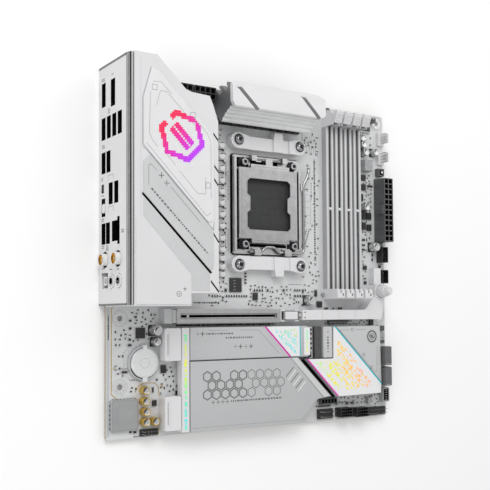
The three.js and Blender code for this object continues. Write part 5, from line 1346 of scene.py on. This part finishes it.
for c in (184.5, 193.7, 202.9, 212.1):
    for k in range(44):
        joint(c + (0.9 if k % 2 else -0.9), 104.0 + k * 2.8, 0.5)
for k in range(36):
    joint(54.0 + k * 2.1, 81.1 + (1.3 if k % 2 else -1.3), 0.5)
for i in range(2):
    for k in range(12):
        joint(236.4 + i * 4.2, 142.4 + k * 4.2, 0.95)
for x0 in (44.7, 63.1):
    for i in range(4):
        for j in range(2):
            joint(x0 + i * 4.2, 235.1 + j * 4.2, 0.95)
for x0, y0, nx, ny, sx, sy in ((4, 200, 4, 4, 2.4, 3.4), (4, 176, 4, 4, 2.4, 3.4), (4, 155, 4, 4, 2.4, 3.4), (5, 129, 4, 5, 2.4, 3.2), (5, 219, 3, 6, 2.4, 2.6), (5, 100, 3, 4, 2.6, 2.6), (193, 3.8, 5, 2, 2.2, 2.6), (209, 3.6, 5, 2, 2.2, 2.6), (174.8, 3.6, 6, 2, 2.35, 3.4), (223, 3, 4, 2, 2.35, 3)):
    for i in range(nx):
        for j in range(ny):
            joint(x0 + i * sx, y0 + j * sy, 0.55)
for i in range(60):
    joint(q.uniform(66, 78), q.uniform(116, 206), 0.4)
d.done(["tin"], slot="print")
d = Build("underside_parts")
for k in range(70):
    x, y = q.uniform(8, 232), q.uniform(8, 112)
    if (x - 165.1) ** 2 + (y - 80) ** 2 < 60 or (x - 165.1) ** 2 + (y - 34.3) ** 2 < 60 or (x - 10) ** 2 + (y - 34) ** 2 < 60 or 76 < y < 86 or (180 < x < 216 and y > 94):
        continue
    v = k % 3 == 0
    lx, ly = (0.9, 1.7) if v else (1.7, 0.9)
    d.box(x - lx / 2, x + lx / 2, y - ly / 2, y + ly / 2, -0.6, 0.02, 0)
    d.box(x - lx / 2 - 0.15, x - lx / 2 + 0.15, y - ly / 2, y + ly / 2, -0.64, 0.02, 1) if not v else d.box(x - lx / 2, x + lx / 2, y - ly / 2 - 0.15, y - ly / 2 + 0.15, -0.64, 0.02, 1)
for x0, x1, y0, y1 in ((110, 114, 64, 70), (140, 144, 40, 46), (60, 63, 100, 104), (88, 92, 30, 34), (205, 210, 60, 66)):
    d.box(x0, x1, y0, y1, -1.1, 0.02, 0)
for x, y in ((106.0, 131.0), (150.0, 131.0), (106.0, 196.0), (150.0, 196.0), (127.0, 128.0), (127.0, 199.0)):
    d.ring(x, y, -2.19, -2.0, 2.3, 3.0, 32, 2)
for x0, x1, y0, y1 in ((2.5, 241.0, 2.5, 241.0),):
    d.line([(x0, y0), (x1, y0), (x1, y1), (x0, y1)], 0.25, -0.03, 0.02, 3, closed=True)
d.ticks(20.0, 20.0, 40, 0, 1, -0.03, 0.02, 3, w=1.0, h=1.4, gap=0.8, seed=71)
d.ticks(60.0, 222.0, 30, 0, 1, -0.03, 0.02, 3, w=1.0, h=1.4, gap=0.8, seed=72)
d.done(["chip", "tin", "screw_dark", "silk_grey"], slot="chips")


# ------------------------------------------------------------------ floor, light and camera
def floor():
    s = 3.0
    me = bpy.data.meshes.new("floor")
    me.from_pydata([(-s, -s, 0), (s, -s, 0), (s, s, 0), (-s, s, 0)], [], [[0, 1, 2, 3]])
    m = material("floor_pale", (0.96, 0.96, 0.96), 0.9, var=0.004, var_scale=3, spec=0.1)
    me.materials.append(m)
    o = bpy.data.objects.new("floor", me)
    o.location.z = -0.0002
    bpy.context.scene.collection.objects.link(o)


floor()
scene = bpy.context.scene
scene.view_settings.view_transform = "Standard"
scene.view_settings.look = "None"
world = bpy.data.worlds.new("studio")
world.use_nodes = True
world.node_tree.nodes["Background"].inputs[0].default_value = (1.0, 1.0, 1.0, 1)
world.node_tree.nodes["Background"].inputs[1].default_value = 0.62
scene.world = world


def area(name, loc, target, size, power):
    l = bpy.data.lights.new(name, "AREA")
    l.shape = "SQUARE"
    l.size = size
    l.energy = power
    o = bpy.data.objects.new(name, l)
    o.location = loc
    d = Vector(target) - Vector(loc)
    o.rotation_euler = d.to_track_quat("-Z", "Y").to_euler()
    scene.collection.objects.link(o)
    return o


area("key", (-0.45, 0.85, 1.0), (0, 0, 0), 0.7, 7.5)
area("fill", (-0.95, -0.45, 0.75), (0, 0, 0.02), 0.8, 2.6)
area("back", (0.7, 0.5, 0.8), (0, 0, 0), 0.7, 1.8)

CAM = [-225.235, 81.192, 526.408, 0.582, -0.043, -0.007, 852.249, 12.615, 33.971]


def camera():
    cx, cy, cz, az, el, ro, f, sx, sy = CAM
    b = Vector((-math.sin(az) * math.cos(el), math.sin(el), math.cos(az) * math.cos(el)))
    r = Vector((0, 1, 0)).cross(b).normalized()
    u = b.cross(r)
    c, s = math.cos(ro), math.sin(ro)
    r2, u2 = c * r + s * u, -s * r + c * u
    cam = bpy.data.cameras.new("camera")
    cam.sensor_fit = "HORIZONTAL"
    cam.sensor_width = 36.0
    cam.lens = f * 36.0 / 490.0
    cam.shift_x = -sx / 490.0
    cam.shift_y = sy / 490.0
    cam.clip_start = 0.01
    cam.clip_end = 20.0
    o = bpy.data.objects.new("camera", cam)
    mat = Matrix((r2, u2, b)).transposed().to_4x4()
    mat.translation = W(cx, cy, cz)
    o.matrix_world = mat
    scene.collection.objects.link(o)
    scene.camera = o


camera()
bpy.context.view_layer.update()
